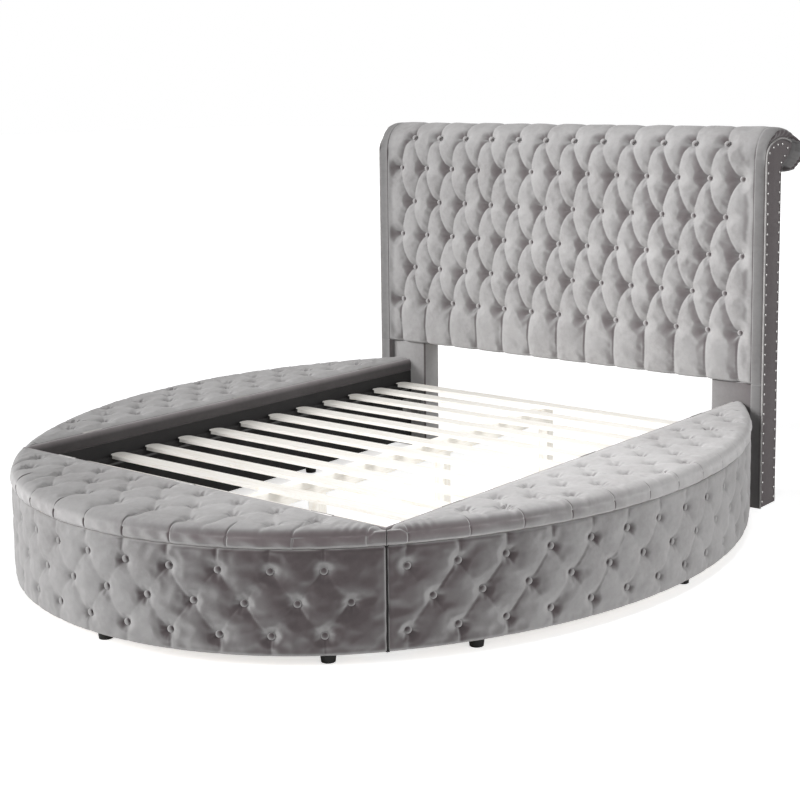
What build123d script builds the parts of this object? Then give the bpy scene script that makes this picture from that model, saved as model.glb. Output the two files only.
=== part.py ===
from build123d import *
from math import asin, atan2, copysign, cos, floor, hypot, pi, radians, sin, sqrt, tan
import os

os.makedirs("parts", exist_ok=True)

# A round storage bed: three lidded benches stand round a slatted recess, and a tall
# headboard with a rolled top closes the fourth side. Origin on the floor under the middle
# of the whole bed, +Z up, the foot end at -Y, the headboard at +Y.

# The mattress and the recess that takes it
mattress_width = 1524
mattress_length = 2032
mattress_side_gap = 28
mattress_head_gap = 24

# Plan of the benches
foot_bench_depth = 410
side_bench_depth = 394
side_bench_head_width = 61.5
corner_out_x = 20
corner_out_y = 19

# Heights of the benches
foot_height = 36
wall_top = 344
cap_top = 394.6
lid_top = 403

# Bench boards and padding
rail_thickness = 18
wall_thickness = 12
floor_thickness = 12
end_panel_thickness = 12
cover_thickness = 26
seam_gap = 1
cap_round = 8

# Sewn tufts of the bench covers
cover_tuft_width = 151
cover_tuft_rise = 93
cover_tuft_low = 93
cover_tuft_depth = 12
cover_edge_draw = 4
cover_valley_share = 0.35
side_tuft_start_share = 0.4

# Lids
lid_rest_gap = 0.4
lid_hinge_gap = 1
lid_head_gap = 3
lid_board_thickness = 12
lid_wrap = 8
lid_stile_width = 18
lid_stile_drop = 8
lid_tuft_width = 155
lid_tuft_first = 76
foot_lid_tuft_step = 95
side_lid_tuft_step = 80
lid_tuft_depth = 15
lid_tuft_margin = 50
lid_crest_inset = 22
lid_valley_share = 0.3
lid_crest_share = 0.3
lid_edge_inset = 34
lid_edge_drop = 26
lid_edge_shares = (0.25, 0.4, 0.05)
lid_mitre_gap = 1
lid_end_drop = 13
lid_end_run = 22

# Hinges
hinge_length = 84
hinge_leaf_height = 34
hinge_leaf_thickness = 2
hinge_knuckle_radius = 4
hinge_pin_radius = 2
hinge_pin_play = 0.05
hinge_play = 0.4
hinge_notch_radius = 5.2
hinge_axis_lift = 0.4
hinge_spread_share = 0.36

# Covered buttons
button_radius = 11
button_height = 6
button_sag = 5.4
lid_button_sag = 3.2
cover_button_sag = 2.4

# Feet
foot_top_radius = 25
foot_bottom_radius = 21
foot_inset = 42
foot_rail_inset = 44
foot_spread_share = 0.82
foot_rail_share = 0.45
side_feet_shares = (0.13, 0.54, 0.9)
inner_feet_shares = (0.3, 0.7)

# Slats and what carries them
slat_count = 12
slat_pitch = 160
slat_width = 62
slat_thickness = 12
slat_top = 305
slat_end_gap = 9
slat_end_round = 28
slat_head_gap = 101
slat_cap_length = 26
slat_cap_skin = 2.5
ledge_width = 24
ledge_height = 34
ledge_end_gap = 40
tape_inset = 92
tape_width = 24
tape_thickness = 1
centre_rail_width = 44
centre_rail_height = 60
centre_rail_head_gap = 70
centre_leg_size = 44
centre_leg_count = 3
centre_leg_first_share = 0.8

# Headboard
headboard_overhang = 142
headboard_height = 1444
headboard_seam = 476
leg_inset = 82
leg_depth = 101
leg_skin = 8
wing_thickness = 42
wing_front = 26
wing_depth = 140
wing_bend_drop = 8
wing_bend_radius = 72
wing_bend_turn = 65
wing_blade_fall = 28
wing_blade_tip = 204
wing_return_shares = (0.878, 0.489, 0.067)
wing_return_lifts = (24, -6, -29)
pad_crown = 20
board_front = 22
board_thickness = 18
post_depth = 52
post_gap = 8
cross_rail_height = 80
frame_drop = 40
back_cloth_thickness = 3

# Rolled top of the headboard
roll_front_radius = 114
roll_nose_radius = 46
roll_reach = 266
roll_nose_turn = 40
roll_under_slope = 25
roll_padding = 24
roll_end_bulge = 13
roll_end_taper = 30

# Sewn tufts of the headboard
head_tuft_width = 138
head_tuft_rise = 146
head_tuft_low = 665
head_tuft_depth = 28
head_valley_share = 0.35
head_edge_draw = 5
head_tuft_rows = 5
head_tuft_side_gap = 20
roll_tuft_turn = 31
roll_dimple_radius = 30
roll_dimple_depth = 14

# Piping and nails down the wings
piping_radius = 3.5
piping_inset = 5
piping_blade_share = 0.9
nail_radius = 5
nail_height = 3
nail_pitch = 38
nail_front_inset = 28
nail_rear_inset = 15
nail_first = 20
nail_blade_share = 0.84
nail_return_shares = (0.422, 0.011)
nail_return_lifts = (13, -15)

# Hardware that joins the benches and the headboard
bracket_arm = 62
bracket_thickness = 4
bracket_height = 80
bracket_low = 140
bolt_radius = 4
bolt_head_radius = 7
bolt_head_height = 5
bolt_play = 0.3
bolt_length = 16
post_bolt_length = 62
bolt_inset = 20

# One overrun serves every cut
overrun = 30

# A quarter turn in degrees
quarter_turn = 90

# Places that follow from the sizes above
recess_half = mattress_width / 2 + mattress_side_gap
recess_length = mattress_length + mattress_head_gap
overall_length = foot_bench_depth + recess_length + roll_reach
foot_inner_y = -overall_length / 2 + foot_bench_depth
head_y = foot_inner_y + recess_length
lid_bottom = wall_top + lid_rest_gap
lid_inset = rail_thickness + lid_hinge_gap
hinge_inset = rail_thickness + lid_hinge_gap / 2
hinge_z = cap_top + hinge_axis_lift
slat_bottom = slat_top - slat_thickness
headboard_half_width = recess_half + headboard_overhang
leg_inner_x = recess_half - leg_inset
wing_inner_x = headboard_half_width - wing_thickness
roll_spring = headboard_height - roll_front_radius
wing_bend_height = roll_spring - wing_bend_drop
frame_top = roll_spring - frame_drop
head_tuft_half_count = int((wing_inner_x - head_tuft_side_gap) / (head_tuft_width / 2))
wing_rear = wing_depth - wing_front
board_rear = board_front + board_thickness
post_rear = board_rear + post_depth
back_rear = post_rear + back_cloth_thickness
mitre_length = hypot(corner_out_x, corner_out_y)
mitre_x = corner_out_x / mitre_length
mitre_y = -corner_out_y / mitre_length
mitre_reach = overall_length / 4


def circle_through(first, middle, last):
    """Centre and radius of the circle through three points in plan."""
    ax, ay = first
    bx, by = middle
    cx, cy = last
    double_area = 2 * (ax * (by - cy) + bx * (cy - ay) + cx * (ay - by))
    a2 = ax * ax + ay * ay
    b2 = bx * bx + by * by
    c2 = cx * cx + cy * cy
    x = (a2 * (by - cy) + b2 * (cy - ay) + c2 * (ay - by)) / double_area
    y = (a2 * (cx - bx) + b2 * (ax - cx) + c2 * (bx - ax)) / double_area
    return x, y, hypot(ax - x, ay - y)


bench_corner = (recess_half + corner_out_x, foot_inner_y - corner_out_y)
foot_arc = circle_through(
    (-bench_corner[0], bench_corner[1]),
    (0, foot_inner_y - foot_bench_depth),
    bench_corner,
)
side_arc = circle_through(
    bench_corner,
    (recess_half + side_bench_depth, (bench_corner[1] + head_y) / 2),
    (recess_half + side_bench_head_width, head_y),
)
side_middle_y = (bench_corner[1] + head_y) / 2


def save(node, *solids):
    """Writes one node's STEP file, as one solid or a group of separate ones."""
    shape = solids[0] if len(solids) == 1 else Compound(children=list(solids))
    export_step(shape, f"parts/{node}.step")


def block(x0, x1, y0, y1, z0, z1):
    """A box between two opposite corners."""
    middle = Pos((x0 + x1) / 2, (y0 + y1) / 2, (z0 + z1) / 2)
    return middle * Box(abs(x1 - x0), abs(y1 - y0), abs(z1 - z0))


def prism(points, z0, z1):
    """An upright prism on a closed outline in plan."""
    face = make_face(Polyline(*points, close=True))
    return Pos(0, 0, z0) * extrude(face, z1 - z0, dir=(0, 0, 1))


def disc(arc, inset, z0, z1):
    """An upright cylinder on a bench's outer arc, drawn in by an inset."""
    x, y, radius = arc
    return Pos(x, y, (z0 + z1) / 2) * Cylinder(radius - inset, z1 - z0)


def single(shape):
    """The largest solid of a cut, which drops slivers at sharp corners."""
    return max(shape.solids(), key=lambda solid: solid.volume)


def mirrored(shape):
    """The left-hand copy of a right-hand piece."""
    return mirror(shape, Plane.YZ)


def foot_zone(inset, gap, z0, z1):
    """The foot bench's plan: behind its inner edge and between the two mitred corners."""
    along = (inset - gap * mitre_x) / -mitre_y
    near_x = recess_half + gap * mitre_y + along * mitre_x
    near_y = foot_inner_y - inset
    far_x = recess_half + mitre_reach * mitre_x
    far_y = foot_inner_y + mitre_reach * mitre_y
    far_x = far_x + gap * mitre_y
    far_y = far_y - gap * mitre_x
    outline = [(-near_x, near_y), (near_x, near_y), (far_x, far_y), (-far_x, far_y)]
    return prism(outline, z0, z1)


def side_zone(inset, gap, z0, z1, end_gap=0):
    """The right bench's plan: outside its inner edge, from the mitre to the headboard."""
    along = (inset + gap * mitre_y) / mitre_x
    near_x = recess_half + inset
    near_y = foot_inner_y + gap * mitre_x + along * mitre_y
    far_x = recess_half + mitre_reach * mitre_x - gap * mitre_y
    far_y = foot_inner_y + mitre_reach * mitre_y + gap * mitre_x
    end_y = head_y - end_gap
    outline = [(near_x, near_y), (far_x, far_y), (far_x, end_y), (near_x, end_y)]
    return prism(outline, z0, z1)


def foot_strip(inset, width, z0, z1, roundness=0):
    """A straight board along the foot bench's inner edge, its top inner edge rounded."""
    near_y = foot_inner_y - inset
    reach = recess_half + side_bench_depth
    board = block(-reach, reach, near_y - width, near_y, z0, z1)
    if roundness:
        top_edges = board.edges().filter_by(Axis.X).group_by(Axis.Z)[-1]
        board = fillet(top_edges.sort_by(Axis.Y)[-1], roundness)
    return board


def side_strip(inset, width, z0, z1, roundness=0):
    """A straight board along the right bench's inner edge, its top inner edge rounded."""
    near_x = recess_half + inset
    board = block(near_x, near_x + width, foot_inner_y - mitre_reach, head_y, z0, z1)
    if roundness:
        top_edges = board.edges().filter_by(Axis.Y).group_by(Axis.Z)[-1]
        board = fillet(top_edges.sort_by(Axis.X)[0], roundness)
    return board


def quilt(columns, rows, front, back):
    """A closed solid between a tufted front and a plainer back.

    front and back give a point for a column and a row. Each cell of the front is four
    triangles round its middle, so that the folds between the buttons can lie higher
    than the buttons do.
    """
    faces = []
    first, last = rows[0], rows[-1]
    for left, right in zip(columns, columns[1:]):
        for low, high in zip(rows, rows[1:]):
            ring = [front(left, low), front(right, low), front(right, high), front(left, high)]
            middle = front((left + right) / 2, (low + high) / 2)
            for here, there in zip(ring, ring[1:] + ring[:1]):
                faces.append(Face(Wire.make_polygon([here, there, middle])))
        rear = [back(left, first), back(right, first), back(right, last), back(left, last)]
        faces.append(Face(Wire.make_polygon(rear)))
        for row in (first, last):
            ring = [front(left, row), front(right, row), back(right, row), back(left, row)]
            faces.append(Face(Wire.make_polygon(ring)))
    for column in (columns[0], columns[-1]):
        ring = [front(column, row) for row in rows] + [back(column, last), back(column, first)]
        faces.append(Face(Wire.make_polygon(ring)))
    return Solid(Shell(faces))


def tufted(column, row, is_button, depth, valley_share):
    """How far a tufted surface lies below its crown at a column and row, whole or half."""
    if column == int(column) and row == int(row):
        return depth if is_button(column, row) else 0
    low_column, low_row = floor(column), floor(row)
    corners = [(low_column + dx, low_row + dy) for dx in (0, 1) for dy in (0, 1)]
    held = sum(1 for corner in corners if is_button(*corner))
    return depth * valley_share * held / 2


def button():
    """A covered button: a low dome on a flat back, which faces -Z."""
    ball_radius = (button_radius**2 + button_height**2) / (2 * button_height)
    ball = Pos(0, 0, button_height - ball_radius) * Sphere(ball_radius)
    size = 4 * button_radius
    return single(ball & Pos(0, 0, button_height / 2) * Box(size, size, button_height))


button_shape = button()

# Benches

cover_rows = [
    foot_height,
    cover_tuft_low,
    cover_tuft_low + cover_tuft_rise,
    cover_tuft_low + 2 * cover_tuft_rise,
    wall_top,
]


def is_cover_button(column, row):
    """Three staggered rows of buttons; the middle row lies half a pitch along."""
    return 0 < row < len(cover_rows) - 1 and (column + row) % 2 == 1


def cover_height(row):
    """Height of a whole or half row of the cover's lattice."""
    low = int(row)
    high = min(low + 1, len(cover_rows) - 1)
    return cover_rows[low] + (cover_rows[high] - cover_rows[low]) * (row - low)


def cover_point(arc, start_angle, column, row, depth):
    """A point on a bench's face, the depth below its outer arc."""
    x, y, radius = arc
    angle = start_angle + column * cover_tuft_width / 2 / radius
    reach = radius - depth
    return (x + reach * cos(angle), y + reach * sin(angle), cover_height(row))


def cover_quilt(arc, start_angle, columns):
    """The tufted face of a bench cover, deeper than the cover, to be cut to its plan."""

    def front(column, row):
        sunk = tufted(column, row, is_cover_button, cover_tuft_depth, cover_valley_share)
        edge = cover_edge_draw if row in (0, len(cover_rows) - 1) else 0
        return cover_point(arc, start_angle, column, row, sunk + edge)

    def back(column, row):
        return cover_point(arc, start_angle, column, row, 2 * cover_thickness)

    return quilt(columns, list(range(len(cover_rows))), front, back)


def cover_buttons(arc, start_angle, columns):
    """The buttons of one bench cover."""
    placed = []
    for column in columns:
        for row in range(len(cover_rows)):
            if is_cover_button(column, row):
                angle = start_angle + column * cover_tuft_width / 2 / arc[2]
                seat = cover_point(arc, start_angle, column, row, cover_tuft_depth - cover_button_sag)
                out = (cos(angle), sin(angle), 0)
                placed.append(Plane(origin=seat, z_dir=out).location * button_shape)
    return placed


# The foot's face is centred on the middle of its arc, and the side's starts by the mitre.
foot_start_angle = -pi / 2
foot_half_angle = asin(bench_corner[0] / foot_arc[2])
foot_half_columns = int(foot_half_angle * foot_arc[2] / (cover_tuft_width / 2)) + 2
foot_columns = list(range(-foot_half_columns, foot_half_columns + 1))
side_first_angle = atan2(bench_corner[1] - side_arc[1], bench_corner[0] - side_arc[0])
side_last_angle = atan2(head_y - side_arc[1], recess_half + side_bench_head_width - side_arc[0])
side_start_angle = side_first_angle + cover_tuft_width * side_tuft_start_share / side_arc[2]
side_column_count = int((side_last_angle - side_start_angle) * side_arc[2] / (cover_tuft_width / 2)) + 2
side_columns = list(range(-3, side_column_count + 1))
foot_button_columns = [column for column in foot_columns if abs(column) < foot_half_columns - 2]
side_button_columns = [column for column in side_columns if 0 <= column < side_column_count - 1]


def bench_wall(arc, zone):
    """The bent plywood outer wall of a bench."""
    ring = disc(arc, cover_thickness, foot_height, wall_top)
    ring = ring - disc(arc, cover_thickness + wall_thickness, foot_height - overrun, wall_top + overrun)
    return single(ring & zone(rail_thickness, seam_gap / 2, foot_height, wall_top))


def bench_floor(arc, zone, end_gap=0):
    """The bottom board of a bench's storage."""
    top = foot_height + floor_thickness
    board = disc(arc, cover_thickness + wall_thickness, foot_height, top)
    board = single(board & zone(rail_thickness, seam_gap / 2, foot_height, top))
    if end_gap:
        board = single(board - block(0, overall_length, head_y - end_gap, head_y + overrun, 0, wall_top))
    return board


def bench_cover(arc, zone, start_angle, columns):
    """The tufted, padded cover on a bench's outer wall."""
    face = cover_quilt(arc, start_angle, columns)
    face = face - disc(arc, cover_thickness, foot_height - overrun, wall_top + overrun)
    return single(face & zone(rail_thickness, seam_gap / 2, foot_height - overrun, wall_top + overrun))


def head_end_panel():
    """The small board that closes the right bench at the headboard."""
    board = disc(side_arc, cover_thickness + wall_thickness, foot_height, wall_top)
    board = board & side_zone(rail_thickness, seam_gap / 2, foot_height, wall_top)
    return single(board & block(0, overall_length, head_y - end_panel_thickness, head_y, 0, wall_top))


# Lids


def lid_rows(step, count):
    """Distances of a lid's lattice rows from its inner edge; the last lies past the arc."""
    rows = [0, lid_crest_inset, lid_tuft_first]
    rows += [lid_tuft_first + step * number for number in range(1, count)]
    return rows + [rows[-1] + step, rows[-1] + 2 * step]


foot_lid_rows = lid_rows(foot_lid_tuft_step, 3)
side_lid_rows = lid_rows(side_lid_tuft_step, 4)
first_button_row = 2


def row_distance(rows, row):
    """Distance from the lid's inner edge of a whole or half row."""
    low = int(row)
    high = min(low + 1, len(rows) - 1)
    return rows[low] + (rows[high] - rows[low]) * (row - low)


def lid_place(side, column, row):
    """Plan position of a lattice point on the foot lid or the right lid."""
    along = column * lid_tuft_width / 2
    if side:
        return recess_half + lid_inset + row_distance(side_lid_rows, row), side_middle_y + along
    return along, foot_inner_y - lid_inset - row_distance(foot_lid_rows, row)


def is_lid_button(side, column, row):
    """Buttons lie on a staggered lattice wherever the outer edge leaves them room."""
    rows = side_lid_rows if side else foot_lid_rows
    if row < first_button_row or row > len(rows) - 3 or (column + row) % 2:
        return False
    x, y = lid_place(side, column, row)
    arc = side_arc if side else foot_arc
    return hypot(x - arc[0], y - arc[1]) < arc[2] - lid_tuft_margin


def lid_quilt(side, columns):
    """A lid's tufted top, wider than the lid, to be cut to its plan."""

    def front(column, row):
        x, y = lid_place(side, column, row)
        if row == 0:
            return (x, y, hinge_z)
        sunk = tufted(column, row, lambda i, j: is_lid_button(side, i, j), lid_tuft_depth, lid_valley_share)
        if row < 1:
            sunk = (lid_top - hinge_z) * lid_crest_share
        return (x, y, lid_top - sunk)

    def back(column, row):
        x, y = lid_place(side, column, row)
        return (x, y, lid_bottom)

    rows = side_lid_rows if side else foot_lid_rows
    return quilt(columns, list(range(len(rows))), front, back)


def lid_blank(arc):
    """A disc with its top edge rolled over in two slopes, as wide as a lid's outer edge."""
    x, y, radius = arc
    inset_share, drop_share, lift_share = lid_edge_shares
    outline = [
        (0, lid_bottom - overrun),
        (radius, lid_bottom - overrun),
        (radius, lid_top - lid_edge_drop),
        (radius - lid_edge_inset * inset_share, lid_top - lid_edge_drop * drop_share),
        (radius - lid_edge_inset, lid_top + lid_edge_drop * lift_share),
        (0, lid_top + lid_edge_drop * lift_share),
    ]
    face = Plane.XZ * make_face(Polyline(*outline, close=True))
    return Pos(x, y, 0) * revolve(face, Axis.Z)


def lid_board(arc, zone, strip):
    """The plywood board of a lid with the stile that takes its hinges."""
    board_top = lid_bottom + lid_board_thickness
    plan = zone(lid_inset, lid_mitre_gap + lid_wrap, lid_bottom, hinge_z)
    rim = disc(arc, lid_wrap, lid_bottom, hinge_z)
    board = block_between(lid_bottom, board_top)
    stile = strip(lid_inset, lid_stile_width, board_top, hinge_z - lid_stile_drop)
    return single((board + stile) & plan & rim)


def block_between(z0, z1):
    """A slab wide enough to be cut to any bench's plan."""
    return block(-overall_length, overall_length, -overall_length, overall_length, z0, z1)


def lid_end_slope(into_foot):
    """All that may lie on one side of a right-hand mitre, under a slope that rolls the end over."""
    sign = 1 if into_foot else -1
    inward = (sign * mitre_y, -sign * mitre_x, 0)
    along = (inward[1], -inward[0], 0)
    high = lid_top + overrun
    low = lid_bottom - overrun
    run = lid_end_run * (lid_end_drop + overrun) / lid_end_drop
    outline = [(0, low), (overall_length, low), (overall_length, high), (run, high)]
    outline.append((0, lid_top - lid_end_drop))
    frame = Plane(origin=(recess_half, foot_inner_y, 0), x_dir=inward, z_dir=along)
    face = frame * make_face(Polyline(*outline, close=True))
    return extrude(face, overall_length, both=True)


def lid_pad(side, arc, zone, columns, board):
    """The padded, tufted top of a lid, which wraps its board's edges."""
    slope = lid_end_slope(not side)
    pad = lid_quilt(side, columns) & lid_blank(arc) & slope
    if not side:
        pad = pad & mirrored(slope)
    pad = pad & zone(lid_inset, lid_mitre_gap, lid_bottom - overrun, lid_top + overrun)
    return single(pad - board)


def lid_buttons(side, columns):
    """The buttons of one lid."""
    rows = side_lid_rows if side else foot_lid_rows
    placed = []
    for column in columns:
        for row in range(len(rows)):
            if is_lid_button(side, column, row):
                x, y = lid_place(side, column, row)
                placed.append(Pos(x, y, lid_top - lid_tuft_depth + lid_button_sag) * button_shape)
    return placed


# Hinges: each is drawn along X with its leaves hanging down and the lid at -Y


def knuckles(fixed):
    """The stretches of a hinge's barrel that one leaf carries."""
    step = hinge_length / 3
    wanted = (0, 2) if fixed else (1,)
    start = -hinge_length / 2
    return [(start + step * number, start + step * (number + 1)) for number in wanted]


def hinge_leaf(fixed):
    """One leaf: a plate let into its board, with its share of the barrel, bored for the pin."""
    outward = 1 if fixed else -1
    near = outward * (lid_hinge_gap / 2)
    far = outward * (lid_hinge_gap / 2 + hinge_leaf_thickness)
    plate_top = -hinge_knuckle_radius - hinge_play
    half = hinge_length / 2
    leaf = block(-half, half, min(near, far), max(near, far), plate_top - hinge_leaf_height, plate_top)
    for start, end in knuckles(fixed):
        low = start + hinge_play / 2
        high = end - hinge_play / 2
        barrel = Pos((low + high) / 2, 0, 0) * Rot(0, 90, 0) * Cylinder(hinge_knuckle_radius, high - low)
        neck = block(low, high, min(near, far), max(near, far), plate_top, 0)
        leaf = leaf + barrel + neck
    bore = Rot(0, 90, 0) * Cylinder(hinge_pin_radius + hinge_pin_play, hinge_length + overrun)
    return single(leaf - bore)


def hinge_pin():
    """The pin through one hinge."""
    return Rot(0, 90, 0) * Cylinder(hinge_pin_radius, hinge_length)


def hinge_pocket(fixed):
    """What is cut from the cap or the lid to let one leaf and the barrel in."""
    outward = 1 if fixed else -1
    far = outward * (lid_hinge_gap / 2 + hinge_leaf_thickness)
    half = hinge_length / 2
    bottom = -hinge_knuckle_radius - hinge_play - hinge_leaf_height
    pocket = block(-half, half, min(0, far), max(0, far), bottom, 0)
    notch = Rot(0, 90, 0) * Cylinder(hinge_notch_radius, hinge_length)
    mouth = block(-half, half, -hinge_notch_radius, hinge_notch_radius, 0, overrun)
    return pocket + notch + mouth


def foot_hinge_places():
    """Where the foot lid's hinges stand."""
    reach = recess_half * 2 * hinge_spread_share
    return [Pos(step * reach, foot_inner_y - hinge_inset, hinge_z) for step in (-1, 0, 1)]


def side_hinge_places():
    """Where the right lid's hinges stand, turned so that the lid lies at +X."""
    reach = recess_length * hinge_spread_share
    places = []
    for step in (-1, 0, 1):
        place = Pos(recess_half + hinge_inset, side_middle_y + step * reach, hinge_z)
        places.append(place * Rot(0, 0, 90))
    return places


def with_pockets(shape, places, fixed):
    """A shape with one side of each hinge let into it."""
    pocket = hinge_pocket(fixed)
    for place in places:
        shape = shape - place * pocket
    return single(shape)


# Bolted brackets at the recess's four corners, drawn for the right-hand side


def bracket_corners():
    """Inner corners with a bracket: at the foot rail and at the headboard's leg."""
    return [(recess_half, foot_inner_y, 1), (recess_half, head_y, -1)]


def bolt_places():
    """Each bolt's seat on a bracket, pointing into the board that it holds, and its length."""
    places = []
    for x, y, inward in bracket_corners():
        for height in (bracket_low + bolt_inset, bracket_low + bracket_height - bolt_inset):
            on_side = (x - bracket_thickness, y + inward * (bracket_arm - bolt_inset), height)
            on_end = (x - bracket_arm + bolt_inset, y + inward * bracket_thickness, height)
            end_length = bolt_length if inward > 0 else post_bolt_length
            places.append((Plane(origin=on_side, z_dir=(1, 0, 0)).location, bolt_length))
            places.append((Plane(origin=on_end, z_dir=(0, -inward, 0)).location, end_length))
    return places


def bolt(length):
    """A bolt whose head stands behind its seat and whose shank runs along +Z."""
    head = Pos(0, 0, -bolt_head_height / 2) * Cylinder(bolt_head_radius, bolt_head_height)
    shank_length = bracket_thickness + length
    return head + Pos(0, 0, shank_length / 2) * Cylinder(bolt_radius, shank_length)


def bolt_hole(length):
    """The clear hole for one bolt."""
    depth = bracket_thickness + length + bolt_play
    return Pos(0, 0, depth / 2) * Cylinder(bolt_radius + bolt_play, depth)


def drilled(shape, mirror_too=True):
    """A shape with the bolt holes that reach it."""
    for place, length in bolt_places():
        cut = place * bolt_hole(length)
        shape = shape - cut
        if mirror_too:
            shape = shape - mirrored(cut)
    return single(shape)


def joining_hardware():
    """Four angle brackets with their bolts."""
    pieces = []
    for x, y, inward in bracket_corners():
        top = bracket_low + bracket_height
        on_side = block(x - bracket_thickness, x, y, y + inward * bracket_arm, bracket_low, top)
        on_end = block(x - bracket_arm, x, y, y + inward * bracket_thickness, bracket_low, top)
        pieces.append(drilled(on_side + on_end, mirror_too=False))
    pieces += [place * bolt(length) for place, length in bolt_places()]
    return pieces + [mirrored(piece) for piece in pieces]


# Feet


def on_arc(arc, angle, inset):
    """A place inside a bench's outer arc."""
    return arc[0] + (arc[2] - inset) * cos(angle), arc[1] + (arc[2] - inset) * sin(angle)


def bench_feet():
    """Short tapered feet under the benches' boards."""
    foot = Pos(0, 0, foot_height / 2) * Cone(foot_bottom_radius, foot_top_radius, foot_height)
    inset = cover_thickness + wall_thickness + foot_top_radius
    spread = foot_half_angle * foot_spread_share
    places = [on_arc(foot_arc, foot_start_angle + turn * spread, inset) for turn in (-1, 0, 1)]
    rail_y = foot_inner_y - foot_rail_inset
    places += [(turn * recess_half * foot_rail_share, rail_y) for turn in (-1, 1)]
    side_places = []
    for share in side_feet_shares:
        angle = side_first_angle + (side_last_angle - side_first_angle) * share
        side_places.append(on_arc(side_arc, angle, inset))
    for share in inner_feet_shares:
        side_places.append((recess_half + foot_rail_inset, foot_inner_y + recess_length * share))
    places += side_places + [(-x, y) for x, y in side_places]
    return [Pos(x, y, 0) * foot for x, y in places]


# Slats and their supports


def slat_y(number):
    """Middle of a slat, counted from the foot end."""
    return head_y - slat_head_gap - (slat_count - 1 - number) * slat_pitch


def slat(number):
    """A pale softwood slat with rounded ends."""
    reach = recess_half - slat_end_gap
    y = slat_y(number)
    board = block(-reach, reach, y - slat_width / 2, y + slat_width / 2, slat_bottom, slat_top)
    return fillet(board.edges().filter_by(Axis.Z), slat_end_round)


def slat_caps():
    """The dark moulded holders that keep the slats' ends on the ledges."""
    caps = []
    reach = recess_half - slat_end_gap + slat_cap_skin
    for number in range(slat_count):
        y = slat_y(number)
        half = slat_width / 2 + slat_cap_skin
        cap = block(-reach, reach, y - half, y + half, slat_bottom, slat_top)
        cap = fillet(cap.edges().filter_by(Axis.Z), slat_end_round + slat_cap_skin)
        cap = cap & block(reach - slat_cap_length, reach, y - half, y + half, 0, slat_top)
        cap = single(cap - slat(number))
        caps += [cap, mirrored(cap)]
    return caps


def slat_ledges():
    """Two ledges along the side rails, which carry the slats."""
    low_y = foot_inner_y + ledge_end_gap + bracket_arm
    high_y = head_y - ledge_end_gap
    low = slat_bottom - ledge_height
    ledge = block(recess_half - ledge_width, recess_half, low_y, high_y, low, slat_bottom)
    return [ledge, mirrored(ledge)]


def slat_tapes():
    """Two woven tapes stapled under the slats, which keep them at their pitch."""
    x = recess_half - tape_inset
    low_y = slat_y(0) - slat_width / 2
    high_y = slat_y(slat_count - 1) + slat_width / 2
    half = tape_width / 2
    tape = block(x - half, x + half, low_y, high_y, slat_bottom - tape_thickness, slat_bottom)
    return [tape, mirrored(tape)]


def centre_rail():
    """The beam under the middle of the slats."""
    half = centre_rail_width / 2
    low = slat_bottom - centre_rail_height
    return block(-half, half, foot_inner_y, head_y - centre_rail_head_gap, low, slat_bottom)


def centre_legs():
    """Square legs from the floor up to the centre beam."""
    legs = []
    half = centre_leg_size / 2
    run = recess_length - centre_rail_head_gap - centre_leg_size
    for number in range(centre_leg_count):
        share = (number + centre_leg_first_share) / (centre_leg_count - 1 + centre_leg_first_share)
        y = foot_inner_y + centre_leg_size / 2 + run * share
        legs.append(block(-half, half, y - half, y + half, 0, slat_bottom - centre_rail_height))
    return legs


# Headboard, in profile: the first coordinate runs back from the leg's front face


def profile(lines, x0, x1):
    """A profile drawn in depth and height, carried across the bed from x0 to x1."""
    face = make_face(lines)
    frame = Plane(origin=(x0, head_y, 0), x_dir=(0, 1, 0), z_dir=(1, 0, 0))
    return extrude(frame * face, x1 - x0, dir=(1, 0, 0))


def behind_wing(share, lift):
    """A point under the blade, a share of the way from the wing's back to the blade's tip."""
    return (wing_rear + (wing_blade_tip - wing_rear) * share, roll_spring + lift)


def wing_outline():
    """The side wing's outline: a tall strip whose top bends back into a blade."""
    foot = Line((-wing_front, 0), (-wing_front, wing_bend_height))
    bend = JernArc(foot @ 1, foot % 1, wing_bend_radius, -wing_bend_turn)
    rising = quarter_turn - wing_bend_turn
    blade_run = wing_blade_tip - (bend @ 1).X
    blade_radius = blade_run / (sin(radians(rising)) + sin(radians(wing_blade_fall)))
    blade = JernArc(bend @ 1, bend % 1, blade_radius, -(rising + wing_blade_fall))
    under = [behind_wing(share, lift) for share, lift in zip(wing_return_shares, wing_return_lifts)]
    back = Polyline(blade @ 1, *under, (wing_rear, frame_top), (wing_rear, 0), (-wing_front, 0))
    return Curve() + [foot, bend, blade, back], [foot, bend, blade]


def wing():
    """One side wing, an upholstered board as tall as the headboard."""
    return profile(wing_outline()[0], wing_inner_x, headboard_half_width)


def roll_outline(inset, start, close):
    """The rolled top's outline, drawn in by an inset, closed through the given points."""
    top_z = headboard_height - inset
    crest = -pad_crown + roll_front_radius
    front = CenterArc((crest, roll_spring), roll_front_radius - inset, 2 * quarter_turn, -quarter_turn)
    top = (crest, top_z + roll_spring + roll_front_radius - headboard_height)
    nose_x = roll_reach - roll_nose_radius
    facing = radians(quarter_turn - roll_nose_turn)
    run = nose_x + roll_nose_radius * cos(facing) - crest
    back_radius = run / sin(radians(roll_nose_turn))
    back = JernArc(top, (1, 0), back_radius - inset, -roll_nose_turn)
    nose_turn = 2 * quarter_turn - roll_nose_turn - roll_under_slope
    nose = JernArc(back @ 1, back % 1, roll_nose_radius - inset, -nose_turn)
    tail = nose @ 1
    return Curve() + [front, back, nose, Polyline(tail, *close(tail), start, front @ 0)]


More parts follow.
